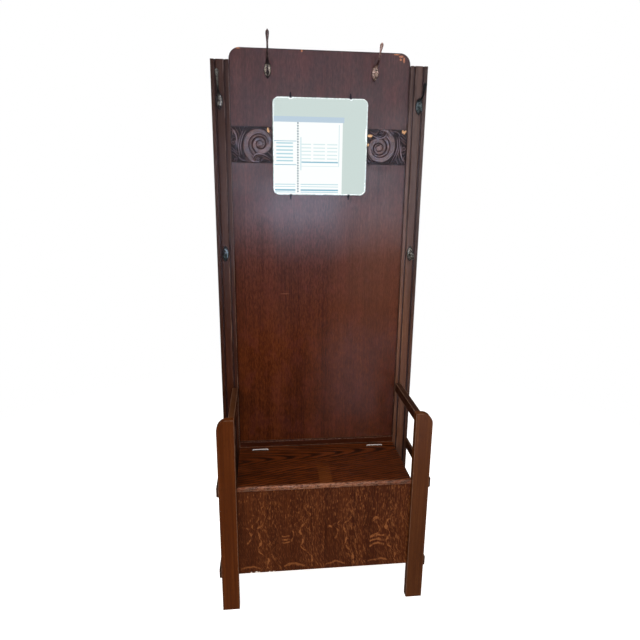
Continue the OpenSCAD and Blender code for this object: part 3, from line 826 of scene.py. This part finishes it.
def make_hooks():
    """Four tall hooks, two small ones, and the heads of their screws."""
    places = []
    for seed, (node, rise, reach, lean, tones, dark_patches, depth, slot) in enumerate(TALL_HOOKS):
        metal = hook_metal(node, lean, tones, 0.7 * seed, dark_patches, depth)
        prongs = [prong_mesh(rise, reach), curl_mesh(32, -6)]
        places.append(make_hook(node, prongs, lean, metal, slot))
    for seed, (node, tones, dark_patches) in enumerate(COAT_HOOKS, 5):
        metal = hook_metal(node, 0, tones, 0.7 * seed, dark_patches, WHOLE_HOOK)
        places.append(make_hook(node, [curl_mesh(42, 4)], 0, metal, "aged_bronze"))
    screws = []
    for number, place in enumerate(places):
        for row, z in enumerate(SCREW_Z):
            stand = place @ Matrix.Translation((0, -1.8, z)) @ Matrix.Rotation(math.pi / 2, 4, "X")
            screws.append(placed(stand, screw_head_mesh(2.6, 1.5, 0.6 + 1.1 * number + 0.7 * row)))
    head = old_metal("screw_bronze", (26, 22, 22), (60, 54, 48), (132, 120, 100), 0.34, 0.0, 0.6)
    new_piece("hook_screw_heads", *joined(*screws), head, "aged_bronze", "hook_screws")


# ---- carved friezes

FRIEZE_LOW, FRIEZE_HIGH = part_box("frieze_left")
FRIEZE_W = round((FRIEZE_HIGH.x - FRIEZE_LOW.x) / MM)
FRIEZE_H = round((FRIEZE_HIGH.z - FRIEZE_LOW.z) / MM)
EYE = (94.0, 59.5)
CELL = 0.75

# Leaves of the left frieze, in millimetres from its lower left corner: a curve's four control
# points, the ridge's width and its height.
LEAVES = (
    ([(28, 22), (20, 50), (24, 70), (46, 110)], 2.4, 5.4),
    ([(35, 24), (26, 52), (31, 74), (55, 109)], 2.2, 5.6),
    ([(19, 48), (21, 74), (20, 88), (2, 108)], 3.0, 5.4),
    ([(12, 88), (16, 92), (14, 99), (8, 101)], 2.4, 4.8),
    ([(27, 76), (26, 92), (20, 100), (14, 110)], 1.8, 4.8),
    ([(36, 88), (33, 98), (30, 104), (28, 111)], 1.8, 4.6),
    ([(4, 84), (10, 90), (8, 98), (2, 100)], 2.2, 4.2),
    ([(16, 76), (10, 80), (4, 74), (4, 68)], 2.2, 4.6),
    ([(3, 48), (8, 44), (12, 36), (26, 31)], 2.2, 4.6),
    ([(3, 38), (10, 36), (16, 28), (26, 22)], 2.2, 4.8),
    ([(3, 28), (8, 28), (14, 20), (22, 15)], 2.0, 4.4),
    ([(24, 20), (28, 10), (38, 6), (50, 8)], 2.6, 5.0),
    ([(4, 12), (6, 6), (8, 4), (3, 2)], 2.0, 4.2),
    ([(70, 14), (74, 34), (100, 34), (126, 14)], 2.6, 5.6),
    ([(74, 10), (80, 26), (98, 27), (118, 12)], 2.0, 4.8),
    ([(96, 6), (104, 20), (116, 16), (126, 6)], 3.4, 4.6),
    ([(118, 34), (124, 30), (130, 26), (133, 20)], 2.4, 4.8),
    ([(112, 104), (120, 98), (126, 90), (131, 80)], 2.2, 4.8),
    ([(120, 110), (126, 104), (130, 98), (133, 92)], 2.0, 4.2),
)
# Small scrolls: centre, size, height and the way they wind.
COILS = (((9, 62), 8.0, 5.0, -1), ((15, 7.5), 6.5, 4.8, 1), ((86, 8.5), 7.5, 5.2, 1))


def ridge(x, z, line, size, height):
    """The height, at every point of the grid, of a rolled ridge along a line of points."""
    best = np.zeros_like(x)
    for (cx, cz), w in zip(line, size):
        share = np.clip(1 - ((x - cx) ** 2 + (z - cz) ** 2) / (w * w), 0, 1)
        best = np.maximum(best, height * np.sqrt(share))
    return best


def stroke(x, z, path, width, height, end=None):
    """A ridge along a curve, thinner at both ends, or running evenly from its width to end."""
    t = np.linspace(0, 1, 60)
    width = 1.3 * width
    if end is None:
        size = width * (0.35 + 0.65 * np.sin(math.pi * np.clip(t * 1.1, 0, 1)) ** 0.6)
    else:
        size = width + (end - width) * t
    return ridge(x, z, bezier(path, t), size, height)


def coil(x, z, centre, size, height, way):
    """A small scroll: a ridge that winds in to an eye."""
    t = np.linspace(0, 1, 90)
    turn = way * t * 1.4 * 2 * math.pi + 0.8
    radius = size * (1 - 0.86 * t)
    line = zip(centre[0] + radius * np.cos(turn), centre[1] + radius * np.sin(turn))
    return ridge(x, z, line, size * (0.34 - 0.16 * t), height)


def spiral_relief(x, z):
    """The big scroll: a rolled band between the turns of a spiral round an eye, and where it lies."""
    dx, dz = x - EYE[0], z - EYE[1]
    radius = np.hypot(dx, dz)
    start, decay, first = math.radians(-119), math.radians(460), 65.0
    turned = (start - np.arctan2(dz, dx)) % (2 * math.pi)
    line = first * np.exp(-turned / decay)
    shrink = math.exp(-2 * math.pi / decay)
    inside = radius < line
    turn = np.floor(np.log(np.maximum(line, 1e-6) / np.maximum(radius, 1.0)) / -math.log(shrink))
    turn = np.clip(turn, 0, 3)
    outer = line * shrink ** turn
    inner = outer * shrink
    share = np.clip((radius - inner) / (outer - inner), 0, 1)
    from_groove = np.clip(np.minimum(radius - inner, outer - radius) / 3.6, 0, 1)
    height = 0.6 + 3.9 * (1 - (1 - from_groove) ** 2) ** 0.8 - 0.10 * turn
    second = np.clip(1 - np.abs(share - 0.33) * (outer - inner) / 2.0, 0, 1)
    height -= 2.6 * second * (turn == 0) * np.clip((4.4 - turned) / 0.8, 0, 1)
    bead = np.clip(1 - np.abs(share - 0.46) * (outer - inner) / 1.5, 0, 1)
    height += 1.3 * bead * (turn == 0) * np.clip((3.6 - turned) / 0.8, 0, 1)
    eye = (radius < 12.5) & (turn >= 2)
    height = np.where(eye, 4.8 - 0.8 * (radius / 12.5) ** 2, height)
    height += 0.35 * np.sin((dx + dz) * 2.2) * (turn == 0) * (share < 0.30)
    return np.where(inside, height, 0.0), inside


def frieze_heights(x, z):
    """How far the left frieze's carving stands off the panel, in millimetres."""
    spiral, inside = spiral_relief(x, z)
    rng = np.random.default_rng(4)
    field = 1.6 + 0.25 * np.sin(x * 1.9 + 2 * np.sin(z * 0.7)) * np.sin(z * 1.7)
    swoop = stroke(x, z, [(56, 13), (64, 5), (76, 2), (94, 2)], 11, 4.9, 1.2)
    leaves = np.maximum.reduce([swoop, *[stroke(x, z, *leaf) for leaf in LEAVES],
                                *[coil(x, z, *scroll) for scroll in COILS]])
    below_spiral = (z < 33) & (x > 64) & (leaves > 2.2)
    heights = np.where(inside & ~below_spiral, spiral, np.maximum(field, leaves))
    edge = np.minimum.reduce([x, FRIEZE_W - x, z, FRIEZE_H - z])
    heights = np.where(edge < 1.6, np.maximum(heights * 0.8, 2.6), heights)
    return heights + rng.normal(0, 0.05, heights.shape)


def make_frieze(node, turned, chips):
    """One carved board. Chips lists raw spots: where they are and their half-sizes."""
    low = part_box(node)[0]
    across = np.linspace(0, FRIEZE_W, int(FRIEZE_W / CELL) + 1)
    up = np.linspace(0, FRIEZE_H, int(FRIEZE_H / CELL) + 1)
    x, z = np.meshgrid(across, up)
    heights = frieze_heights(x, z)
    if turned:
        heights = heights[::-1, ::-1]
    rows, columns = heights.shape
    front = [(low.x + a * MM, PANEL_FACE - h * MM, low.z + b * MM)
             for a, b, h in zip(x.ravel(), z.ravel(), heights.ravel())]
    index = np.arange(rows * columns).reshape(rows, columns)
    faces = np.stack([index[:-1, :-1], index[:-1, 1:], index[1:, 1:], index[1:, :-1]], axis=-1)
    faces = faces.reshape(-1, 4).tolist()
    border = [*index[0], *index[1:, -1], *index[-1, -2::-1], *index[-2:0:-1, 0]]
    border = [int(i) for i in border]
    back = [(front[i][0], PANEL_FACE, front[i][2]) for i in border]
    count = len(border)
    for k in range(count):
        after = (k + 1) % count
        faces.append([border[k], len(front) + k, len(front) + after, border[after]])
    faces.append([len(front) + k for k in range(count)])
    marks = [((low.x + a * MM, PANEL_FACE - 4 * MM, low.z + b * MM), tuple(s * MM for s in size))
             for a, b, size in chips]
    material = carved_oak("carved_" + node, marks)
    new_piece(node + "_carving", front + back, faces, material, "carved_oak", node)


def make_friezes():
    """The right frieze is the left one turned half round; each has chips of its own."""
    make_frieze("frieze_left", False, [(119, 103, (2.6, 9, 7)), (122, 98, (2.2, 9, 4))])
    make_frieze("frieze_right", True, [(119, 106, (3.0, 9, 5)), (124, 103, (3.4, 9, 6)),
                                       (129, 107, (3.0, 9, 4)), (9, 91, (9, 9, 4.4)), (4, 63, (3, 9, 4.5))])


# ---- mirror and clips

def plate_outline():
    """The glass's outline with rounded corners, as closely set points."""
    r = GLASS_CORNER
    low, high = GLASS_LOW, GLASS_HIGH
    left, right, bottom, top = low.x + r, high.x - r, low.z + r, high.z - r
    centres = [(right, top), (left, top), (left, bottom), (right, bottom)]
    points = []
    for quarter, (cx, cz) in enumerate(centres):
        for a in np.linspace(quarter * math.pi / 2, (quarter + 1) * math.pi / 2, 9):
            points.append((cx + r * math.cos(a), cz + r * math.sin(a)))
    dense = []
    for (ax, az), (bx, bz) in zip(points, points[1:] + points[:1]):
        count = max(1, int(math.hypot(bx - ax, bz - az) / (2.2 * MM)))
        dense += [(ax + (bx - ax) * k / count, az + (bz - az) * k / count) for k in range(count)]
    return dense


def make_mirror():
    """A plate with a nibbled, slightly bevelled edge; its face mirrors and its edge is pale glass."""
    rng = np.random.default_rng(11)
    outer = plate_outline()
    middle = (GLASS_LOW + GLASS_HIGH) / 2
    nibble = rng.uniform(0, 1, len(outer)) ** 3 * 0.9 * MM

    def pulled(inset, y):
        """The nibbled outline at depth y, moved inwards."""
        ring = []
        for (x, z), extra in zip(outer, nibble):
            dx, dz = middle.x - x, middle.z - z
            share = (inset + extra) / math.hypot(dx, dz)
            ring.append((x + dx * share, y, z + dz * share))
        return ring

    front, back = GLASS_LOW.y, GLASS_HIGH.y
    levels = [(0.0, back), (0.0, front + 1.1 * MM), (0.9 * MM, front + 0.3 * MM), (2.3 * MM, front)]
    mesh = rings_to_mesh([pulled(*level) for level in levels])
    plate = new_piece("mirror_plate", *mesh, mirror_silver("mirror_silver"), "mirror_glass", "mirror_glass")
    plate.data.shade_flat()
    plate.data.materials.append(glass_edge("glass_edge"))
    for face in plate.data.polygons:
        face.material_index = 0 if abs(face.normal.y) > 0.999 else 1


def clip_rings(rise, foot):
    """Cross-sections of one clip in millimetres, from its foot up and over the glass's edge."""
    thick = 0.9
    route = [(-0.55, foot), (-0.55, foot - 2.5), (-0.55, foot - 6), (-0.55, 7.2), (-0.55, 2.4),
             (-0.8, 1.2), (-2.2, 0.75), (-rise + 0.9, 0.75), (-rise - 0.25, 0.4), (-rise - 0.55, -0.6),
             (-rise - 0.5, -2.9)]
    half_widths = [1.4, 2.3, 2.4, 3.4, 3.5, 3.5, 3.5, 3.5, 3.5, 3.5, 3.3]
    rings = []
    for i, ((y, z), w) in enumerate(zip(route, half_widths)):
        before, after = route[max(i - 1, 0)], route[min(i + 1, len(route) - 1)]
        along = Vector((after[0] - before[0], after[1] - before[1])).normalized()
        ny, nz = along.y * thick / 2, -along.x * thick / 2
        rings.append([(-w, y + ny, z + nz), (w, y + ny, z + nz), (w, y - ny, z - nz), (-w, y - ny, z - nz)])
    return rings


def make_clips():
    """Bent strips: a pointed foot on the panel, a step, and a finger over the glass."""
    steel = old_metal("black_steel", (9, 10, 12), (20, 23, 28), (44, 48, 54), 0.55, 4.4, 0.0, 0.12)
    low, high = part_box("mirror_clips")
    clip_x = (high.x - low.x) / 2 - 3.5 * MM
    foot = 15.0
    shape = clip_rings((PANEL_FACE - GLASS_LOW.y) / MM, foot)
    clips, screws = [], []
    for side in (-1, 1):
        for upward, edge in ((1, GLASS_HIGH.z), (-1, GLASS_LOW.z)):
            rings = [[(side * clip_x + x * MM, PANEL_FACE + y * MM, edge + upward * z * MM)
                      for x, y, z in ring] for ring in shape]
            clips.append(rings_to_mesh(rings))
            at = (side * clip_x, PANEL_FACE - 0.95 * MM, edge + upward * (foot - 4) * MM)
            stand = Matrix.Translation(at) @ Matrix.Rotation(math.pi / 2, 4, "X") @ Matrix.Scale(MM, 4)
            screws.append(placed(stand, screw_head_mesh(1.9, 1.0, 0.5 + side + upward)))
    bent = new_piece("bent_mirror_clips", *joined(*clips), steel, "dark_steel", "mirror_clips")
    rounding = bent.modifiers.new("rounding", "BEVEL")
    rounding.width, rounding.segments, rounding.limit_method = 0.22 * MM, 2, "ANGLE"
    bent.data.shade_flat()
    new_piece("clip_screw_heads", *joined(*screws), steel, "dark_steel", "clip_screws")


# ---- finishes for the CAD nodes

POST_TONES = ((50, 19, 2), (78, 34, 5), (104, 52, 14))
# The right post's tones are greyer than the left's: a painted sheen.
RIGHT_POST_SHEEN_TONES = ((50, 22, 6), (78, 39, 13), (104, 59, 25))
ARM_TONES = ((26, 12, 6), (44, 22, 12), (70, 40, 22))
LEFT_ARM_TONES = ((40, 18, 6), (64, 34, 14), (90, 54, 28))
RAIL_TONES = ((28, 11, 3), (52, 24, 8), (80, 42, 16))
# Stile tones, upper and lower. The upper ones are greyer as a painted sheen, and the right stile's are
# lighter than the left's, partly a painted sheen.
LEFT_STILE_TONES = (((28, 16, 12), (50, 31, 25), (76, 51, 42)),
                    ((26, 9, 2), (46, 19, 6), (70, 32, 13)))
RIGHT_STILE_TONES = (((36, 25, 22), (69, 50, 44), (104, 78, 69)),
                     ((54, 30, 18), (90, 55, 36), (130, 86, 60)))
FILLET_TONES = ((26, 8, 2), (46, 17, 5), (72, 30, 11))


def round_edges(piece, width):
    """Softens a board's hard edges."""
    weld = piece.modifiers.new("weld", "WELD")
    weld.merge_threshold = 0.005 * MM
    bevel = piece.modifiers.new("rounding", "BEVEL")
    bevel.width, bevel.segments = width, 2
    bevel.limit_method, bevel.angle_limit = "ANGLE", math.radians(40)
    bevel.use_clamp_overlap = True
    normals = piece.modifiers.new("normals", "WEIGHTED_NORMAL")
    normals.weight = 100


def paint(node, material):
    """Gives a CAD node one material."""
    for slot in NODES[node].material_slots:
        slot.link = "OBJECT"
        slot.material = material


# Tones, direction of the grain, softening of the edges in millimetres, edge wear with a painted edge
# highlight, and shine.
BOARDS = {
    "front_post_left": (POST_TONES, "z", 0.9, 0.45, 0.12),
    "front_post_right": (RIGHT_POST_SHEEN_TONES, "z", 0.9, 0.45, 0.16),
    "arm_left": (LEFT_ARM_TONES, "y", 0.9, 0.45, 0.3),
    "arm_right": (ARM_TONES, "y", 0.9, 0.7, 0.3),
    **{rail + side: (RAIL_TONES, "y", 0.6, 0.45, 0.3)
       for rail in ("upper_rail_", "lower_rail_") for side in ("left", "right")},
    "box_side_left": (ARM_TONES, "y", 0.5, 0.45, 0.3),
    "box_side_right": (ARM_TONES, "y", 0.5, 0.45, 0.3),
    "rear_fillet": (FILLET_TONES, "x", 0.6, 0.45, 0.05),
}


def finish_boards():
    """The stained oak."""
    for seed, (node, (tones, axis, width, edge_wear_and_highlight, shine)) in enumerate(BOARDS.items(), 1):
        paint(node, oak("oak_" + node, node, tones, axis, seed, edge_wear_and_highlight, shine))
        round_edges(NODES[node], width * MM)
    paint("back_panel", panel_veneer("panel_veneer"))
    paint("stile_left", stile_oak("oak_stile_left", 14, *LEFT_STILE_TONES, 0.1, 0.2))
    paint("stile_right", stile_oak("oak_stile_right", 15, *RIGHT_STILE_TONES, 0.45, 0.32))
    paint("box_front", figured_oak("figured_oak"))
    for node in ("back_panel", "box_front", "stile_left", "stile_right"):
        round_edges(NODES[node], 0.6 * MM)
    for node in ("seat_lid", "seat_back_board"):
        paint(node, seat_oak("oak_" + node, 30))
        round_edges(NODES[node], 0.25 * MM)


def finish_plain_parts():
    """The unstained wood and the card."""
    plain = ["batten_top", "batten_middle", "batten_seat", "batten_foot", "box_bottom", "bottom_cleats",
             "corner_blocks", "lid_cleats", "post_dowels"]
    upright = {"corner_blocks": "z", "lid_cleats": "y"}
    for seed, node in enumerate(plain, 40):
        paint(node, plain_wood("plain_" + node, upright.get(node, "x"), seed))
        round_edges(NODES[node], 0.5 * MM)
    paint("mirror_backing", backing_card("backing_card"))


def finish_metal_parts():
    """The hinges and the screws."""
    nickel = old_metal("nickel_steel", (120, 112, 104), (206, 200, 192), (244, 240, 234), 0.30, 2.1, 0.35)
    steel = old_metal("dark_steel", (16, 16, 19), (36, 36, 40), (78, 77, 78), 0.38, 3.3, 0.6)
    for side in ("left", "right"):
        leaf = hinge_steel("hinge_steel_" + side, "hinge_pin_" + side)
        for node in ("hinge_fixed_leaf_", "hinge_lid_leaf_"):
            paint(node + side, leaf)
        paint("hinge_pin_" + side, nickel)
    for node in ("fixed_leaf_screws", "lid_leaf_screws"):
        paint(node, nickel)
    for node in ("batten_screws", "rail_screws", "lid_cleat_screws"):
        paint(node, steel)


# ---- camera, lights and room

CAMERA_AT = Vector((-0.1869, -1.6437, 1.3911))
YAW, PITCH, ROLL = 0.1082, 0.2476, -0.0112
LENS = 29.1
ROOM_Y = -3.3

# Colours of light, as linear values.
BLACK = (0.0, 0.0, 0.0, 1.0)
WHITE = (1.0, 1.0, 1.0, 1.0)
SKYLIGHT = (0.66, 0.74, 1.0, 1.0)
LILAC = (0.70, 0.68, 1.0, 1.0)
ROSE = (1.0, 0.78, 0.86, 1.0)
WARM = (1.0, 0.86, 0.86, 1.0)
FAINT_SKY = (0.85, 0.92, 1.0, 1.0)
WALL = linear((212, 224, 221))


def make_camera():
    """The photo's camera, as fitted to the edges of the woodwork."""
    ahead = Vector((math.sin(YAW) * math.cos(PITCH), math.cos(YAW) * math.cos(PITCH), -math.sin(PITCH)))
    right = Vector((math.cos(YAW), -math.sin(YAW), 0))
    down = ahead.cross(right)
    rolled_right = math.cos(ROLL) * right + math.sin(ROLL) * down
    rolled_down = -math.sin(ROLL) * right + math.cos(ROLL) * down
    data = bpy.data.cameras.new("camera")
    data.lens, data.sensor_width = LENS, 36
    camera = bpy.data.objects.new("camera", data)
    axes = Matrix((rolled_right, -rolled_down, -ahead)).transposed().to_4x4()
    camera.matrix_world = Matrix.Translation(CAMERA_AT) @ axes
    link(camera)
    bpy.context.scene.camera = camera


def soft_light(name, at, towards, size, power, colour=(1, 1, 1), diffuse=True, gloss=False):
    """A large lamp; most light the surfaces without showing as a haze in their lacquer."""
    data = bpy.data.lights.new(name, "AREA")
    data.shape, data.size, data.size_y = "RECTANGLE", size[0], size[1]
    data.energy, data.color = power, colour
    light = bpy.data.objects.new(name, data)
    light.location = at
    light.rotation_euler = (Vector(towards) - Vector(at)).to_track_quat("-Z", "Y").to_euler()
    light.visible_camera = False
    light.visible_diffuse, light.visible_glossy = diffuse, gloss
    link(light)


def glowing(name, colour, strength):
    """A plain glow that surfaces show only where they reflect it."""
    g = Graph(name)
    g.set(Base_Color=BLACK, Roughness=1.0, Specular_IOR_Level=0.0,
          Emission_Color=colour, Emission_Strength=strength)
    g.material.cycles.emission_sampling = "NONE"
    return g.material


def seen_in_mirror(across, up):
    """The place on the room's far wall that the camera sees at this share across and up the glass."""
    x = GLASS_LOW.x + across * (GLASS_HIGH.x - GLASS_LOW.x)
    z = GLASS_LOW.z + up * (GLASS_HIGH.z - GLASS_LOW.z)
    reach = (GLASS_LOW.y - ROOM_Y) / (GLASS_LOW.y - CAMERA_AT.y)
    return x + reach * (x - CAMERA_AT.x), z + reach * (z - CAMERA_AT.z)


def room_cards(name, boxes, colour, strength, layer):
    """Glowing cards behind the camera that only reflections show. A box is left, bottom, right and
    top; a higher layer stands nearer."""
    y = ROOM_Y + layer * MM
    points, faces = [], []
    for left, bottom, right, top in boxes:
        (x0, z0), (x1, z1) = seen_in_mirror(left, bottom), seen_in_mirror(right, top)
        faces.append([len(points) + k for k in range(4)])
        points += [(x0, y, z0), (x1, y, z0), (x1, y, z1), (x0, y, z1)]
    cards = new_object("room_" + name, points, faces, glowing("room_" + name, colour, strength))
    cards.visible_camera = cards.visible_diffuse = cards.visible_shadow = False
    cards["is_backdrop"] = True


def make_room():
    """What the mirror shows: a pale wall, and a bright window with blinds and a cord."""
    room_cards("wall", [(-0.6, -0.6, 1.8, 1.9)], WALL, 1.0, 0)
    room_cards("window", [(-0.02, -0.02, 0.735, 0.752)], WHITE, 1.06, 4)
    room_cards("window_left", [(-0.6, -0.02, -0.02, 0.752)], ROSE, 0.8, 4)
    room_cards("window_foot", [(-0.2, -0.35, 0.735, -0.02)], SKYLIGHT, 48.0, 4)
    room_cards("right", [(1.05, -0.5, 1.7, 0.9)], WARM, 4.0, 4)
    room_cards("above", [(-0.6, 1.02, 1.8, 1.9)], LILAC, 0.85, 4)
    room_cards("band", [(-0.02, 0.752, 0.75, 0.808)], (196, 213, 229), 1.0, 4)
    slat_heights = [0.531, 0.495, 0.459, 0.422, 0.384, 0.350]
    left_slats = [(0.035, up, 0.21, up + 0.014) for up in slat_heights]
    right_slats = [(left, up - 0.008, right, up + 0.003) for up in slat_heights
                   for left, right in ((0.30, 0.40), (0.425, 0.55), (0.57, 0.68))]
    sills = [(left, up, right, up + thick) for left, right in ((-0.02, 0.235), (0.29, 0.695))
             for up, thick in ((0.108, 0.008), (0.085, 0.006), (0.026, 0.008))]
    deep_sills = [(left, 0.044, right, 0.060) for left, right in ((-0.02, 0.235), (0.29, 0.695))]
    rails = [(-0.02, 0.556, 0.245, 0.562), (-0.02, 0.313, 0.245, 0.320), (0.30, 0.338, 0.69, 0.350)]
    cord = [(0.254, 0.03 + 0.027 * k, 0.268, 0.046 + 0.027 * k) for k in range(27)]
    shade = [(0.285, 0.26, 0.30, 0.60), (0.693, 0.30, 0.702, 0.73), (0.30, 0.300, 0.69, 0.306)]
    room_cards("shade", shade, (226, 241, 246), 1.0, 8)
    room_cards("left_slats", left_slats + sills, (186, 221, 232), 1.0, 8)
    room_cards("right_slats", right_slats, (222, 240, 243), 1.0, 8)
    room_cards("rails", rails + deep_sills, (140, 190, 212), 1.0, 12)
    room_cards("cord", cord, (98, 130, 146), 1.0, 16)


def sky(tree, colour, strength):
    """An even background."""
    node = tree.nodes.new("ShaderNodeBackground")
    node.inputs[0].default_value = colour
    node.inputs[1].default_value = strength
    return node.outputs[0]


def make_world():
    """White behind the object, a pale wall in the mirror, and a faint fill for everything else."""
    world = bpy.data.worlds.new("studio")
    bpy.context.scene.world = world
    world.use_nodes = True
    tree = world.node_tree
    tree.nodes.clear()
    path = tree.nodes.new("ShaderNodeLightPath")
    shown = sky(tree, FAINT_SKY, 0.06)
    for rays, colour in (("Is Singular Ray", WALL), ("Is Camera Ray", WHITE)):
        mix = tree.nodes.new("ShaderNodeMixShader")
        tree.links.new(path.outputs[rays], mix.inputs[0])
        tree.links.new(shown, mix.inputs[1])
        tree.links.new(sky(tree, colour, 1.0), mix.inputs[2])
        shown = mix.outputs[0]
    tree.links.new(shown, tree.nodes.new("ShaderNodeOutputWorld").inputs[0])


def make_floor():
    """A plain pale floor that passes into the white background further out."""
    g = Graph("pale_floor")
    fade = g.span(g.length(g.point), 0.7, 2.4)
    near = g.ramp(g.noise(g.point, 7, 3), (0.3, (244, 243, 241)), (0.7, (250, 249, 248)))
    g.set(Base_Color=g.mix(fade, near, BLACK), Roughness=0.9, Specular_IOR_Level=0.0,
          Emission_Color=WHITE, Emission_Strength=g.span(fade, 0.0, 1.0, 0.80, 1.0))
    g.material.cycles.emission_sampling = "NONE"
    radius, sides = 9, 64
    angles = np.linspace(0, 2 * math.pi, sides, endpoint=False)
    ring = [(radius * math.cos(a), radius * math.sin(a), 0) for a in angles]
    floor = new_object("floor", ring, [list(range(sides))], g.material)
    floor.visible_glossy = floor.visible_diffuse = floor.visible_shadow = False
    floor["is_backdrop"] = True


def make_lights():
    """Soft daylight from the front and above, and two lamps that only the finish reflects."""
    soft_light("key_light", (-1.8, -2.4, 3.0), (0, 0, 0.8), (2.0, 2.0), 62)
    soft_light("front_light", (0.3, -5.0, 1.5), (0, 0, 0.9), (4.0, 3.0), 110)
    soft_light("right_light", (2.4, -2.2, 1.5), (0, 0, 0.8), (1.4, 1.6), 14)
    soft_light("top_light", (0, -0.8, 4.2), (0, 0, 0), (4.0, 4.0), 110)
    soft_light("back_light", (0, 3.5, 3.2), (0, 0, 0.8), (3.0, 2.0), 60)
    soft_light("floor_bounce", (0, 0, -0.4), (0, 0, 1.0), (5.0, 5.0), 60)
    soft_light("low_sheen", (0.56, -1.58, 0.03), (0.19, 0.13, 0.68), (0.6, 0.4), 1.6, (0.7, 0.76, 1.0),
               diffuse=False, gloss=True)
    soft_light("glint_light", (1.9, -2.6, 2.2), (0, 0, 1.2), (0.5, 0.9), 6, diffuse=False, gloss=True)


# ---- build

make_camera()
make_world()
make_floor()
make_room()
make_lights()
finish_boards()
finish_plain_parts()
finish_metal_parts()
make_hooks()
make_friezes()
make_mirror()
make_clips()
bpy.context.scene.view_settings.view_transform = "Standard"


def plain(bounds):
    """Two corners as plain lists of numbers."""
    return [list(map(float, corner)) for corner in bounds]


{"cad": plain(CAD_BOUNDS), "visual": plain(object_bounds())}
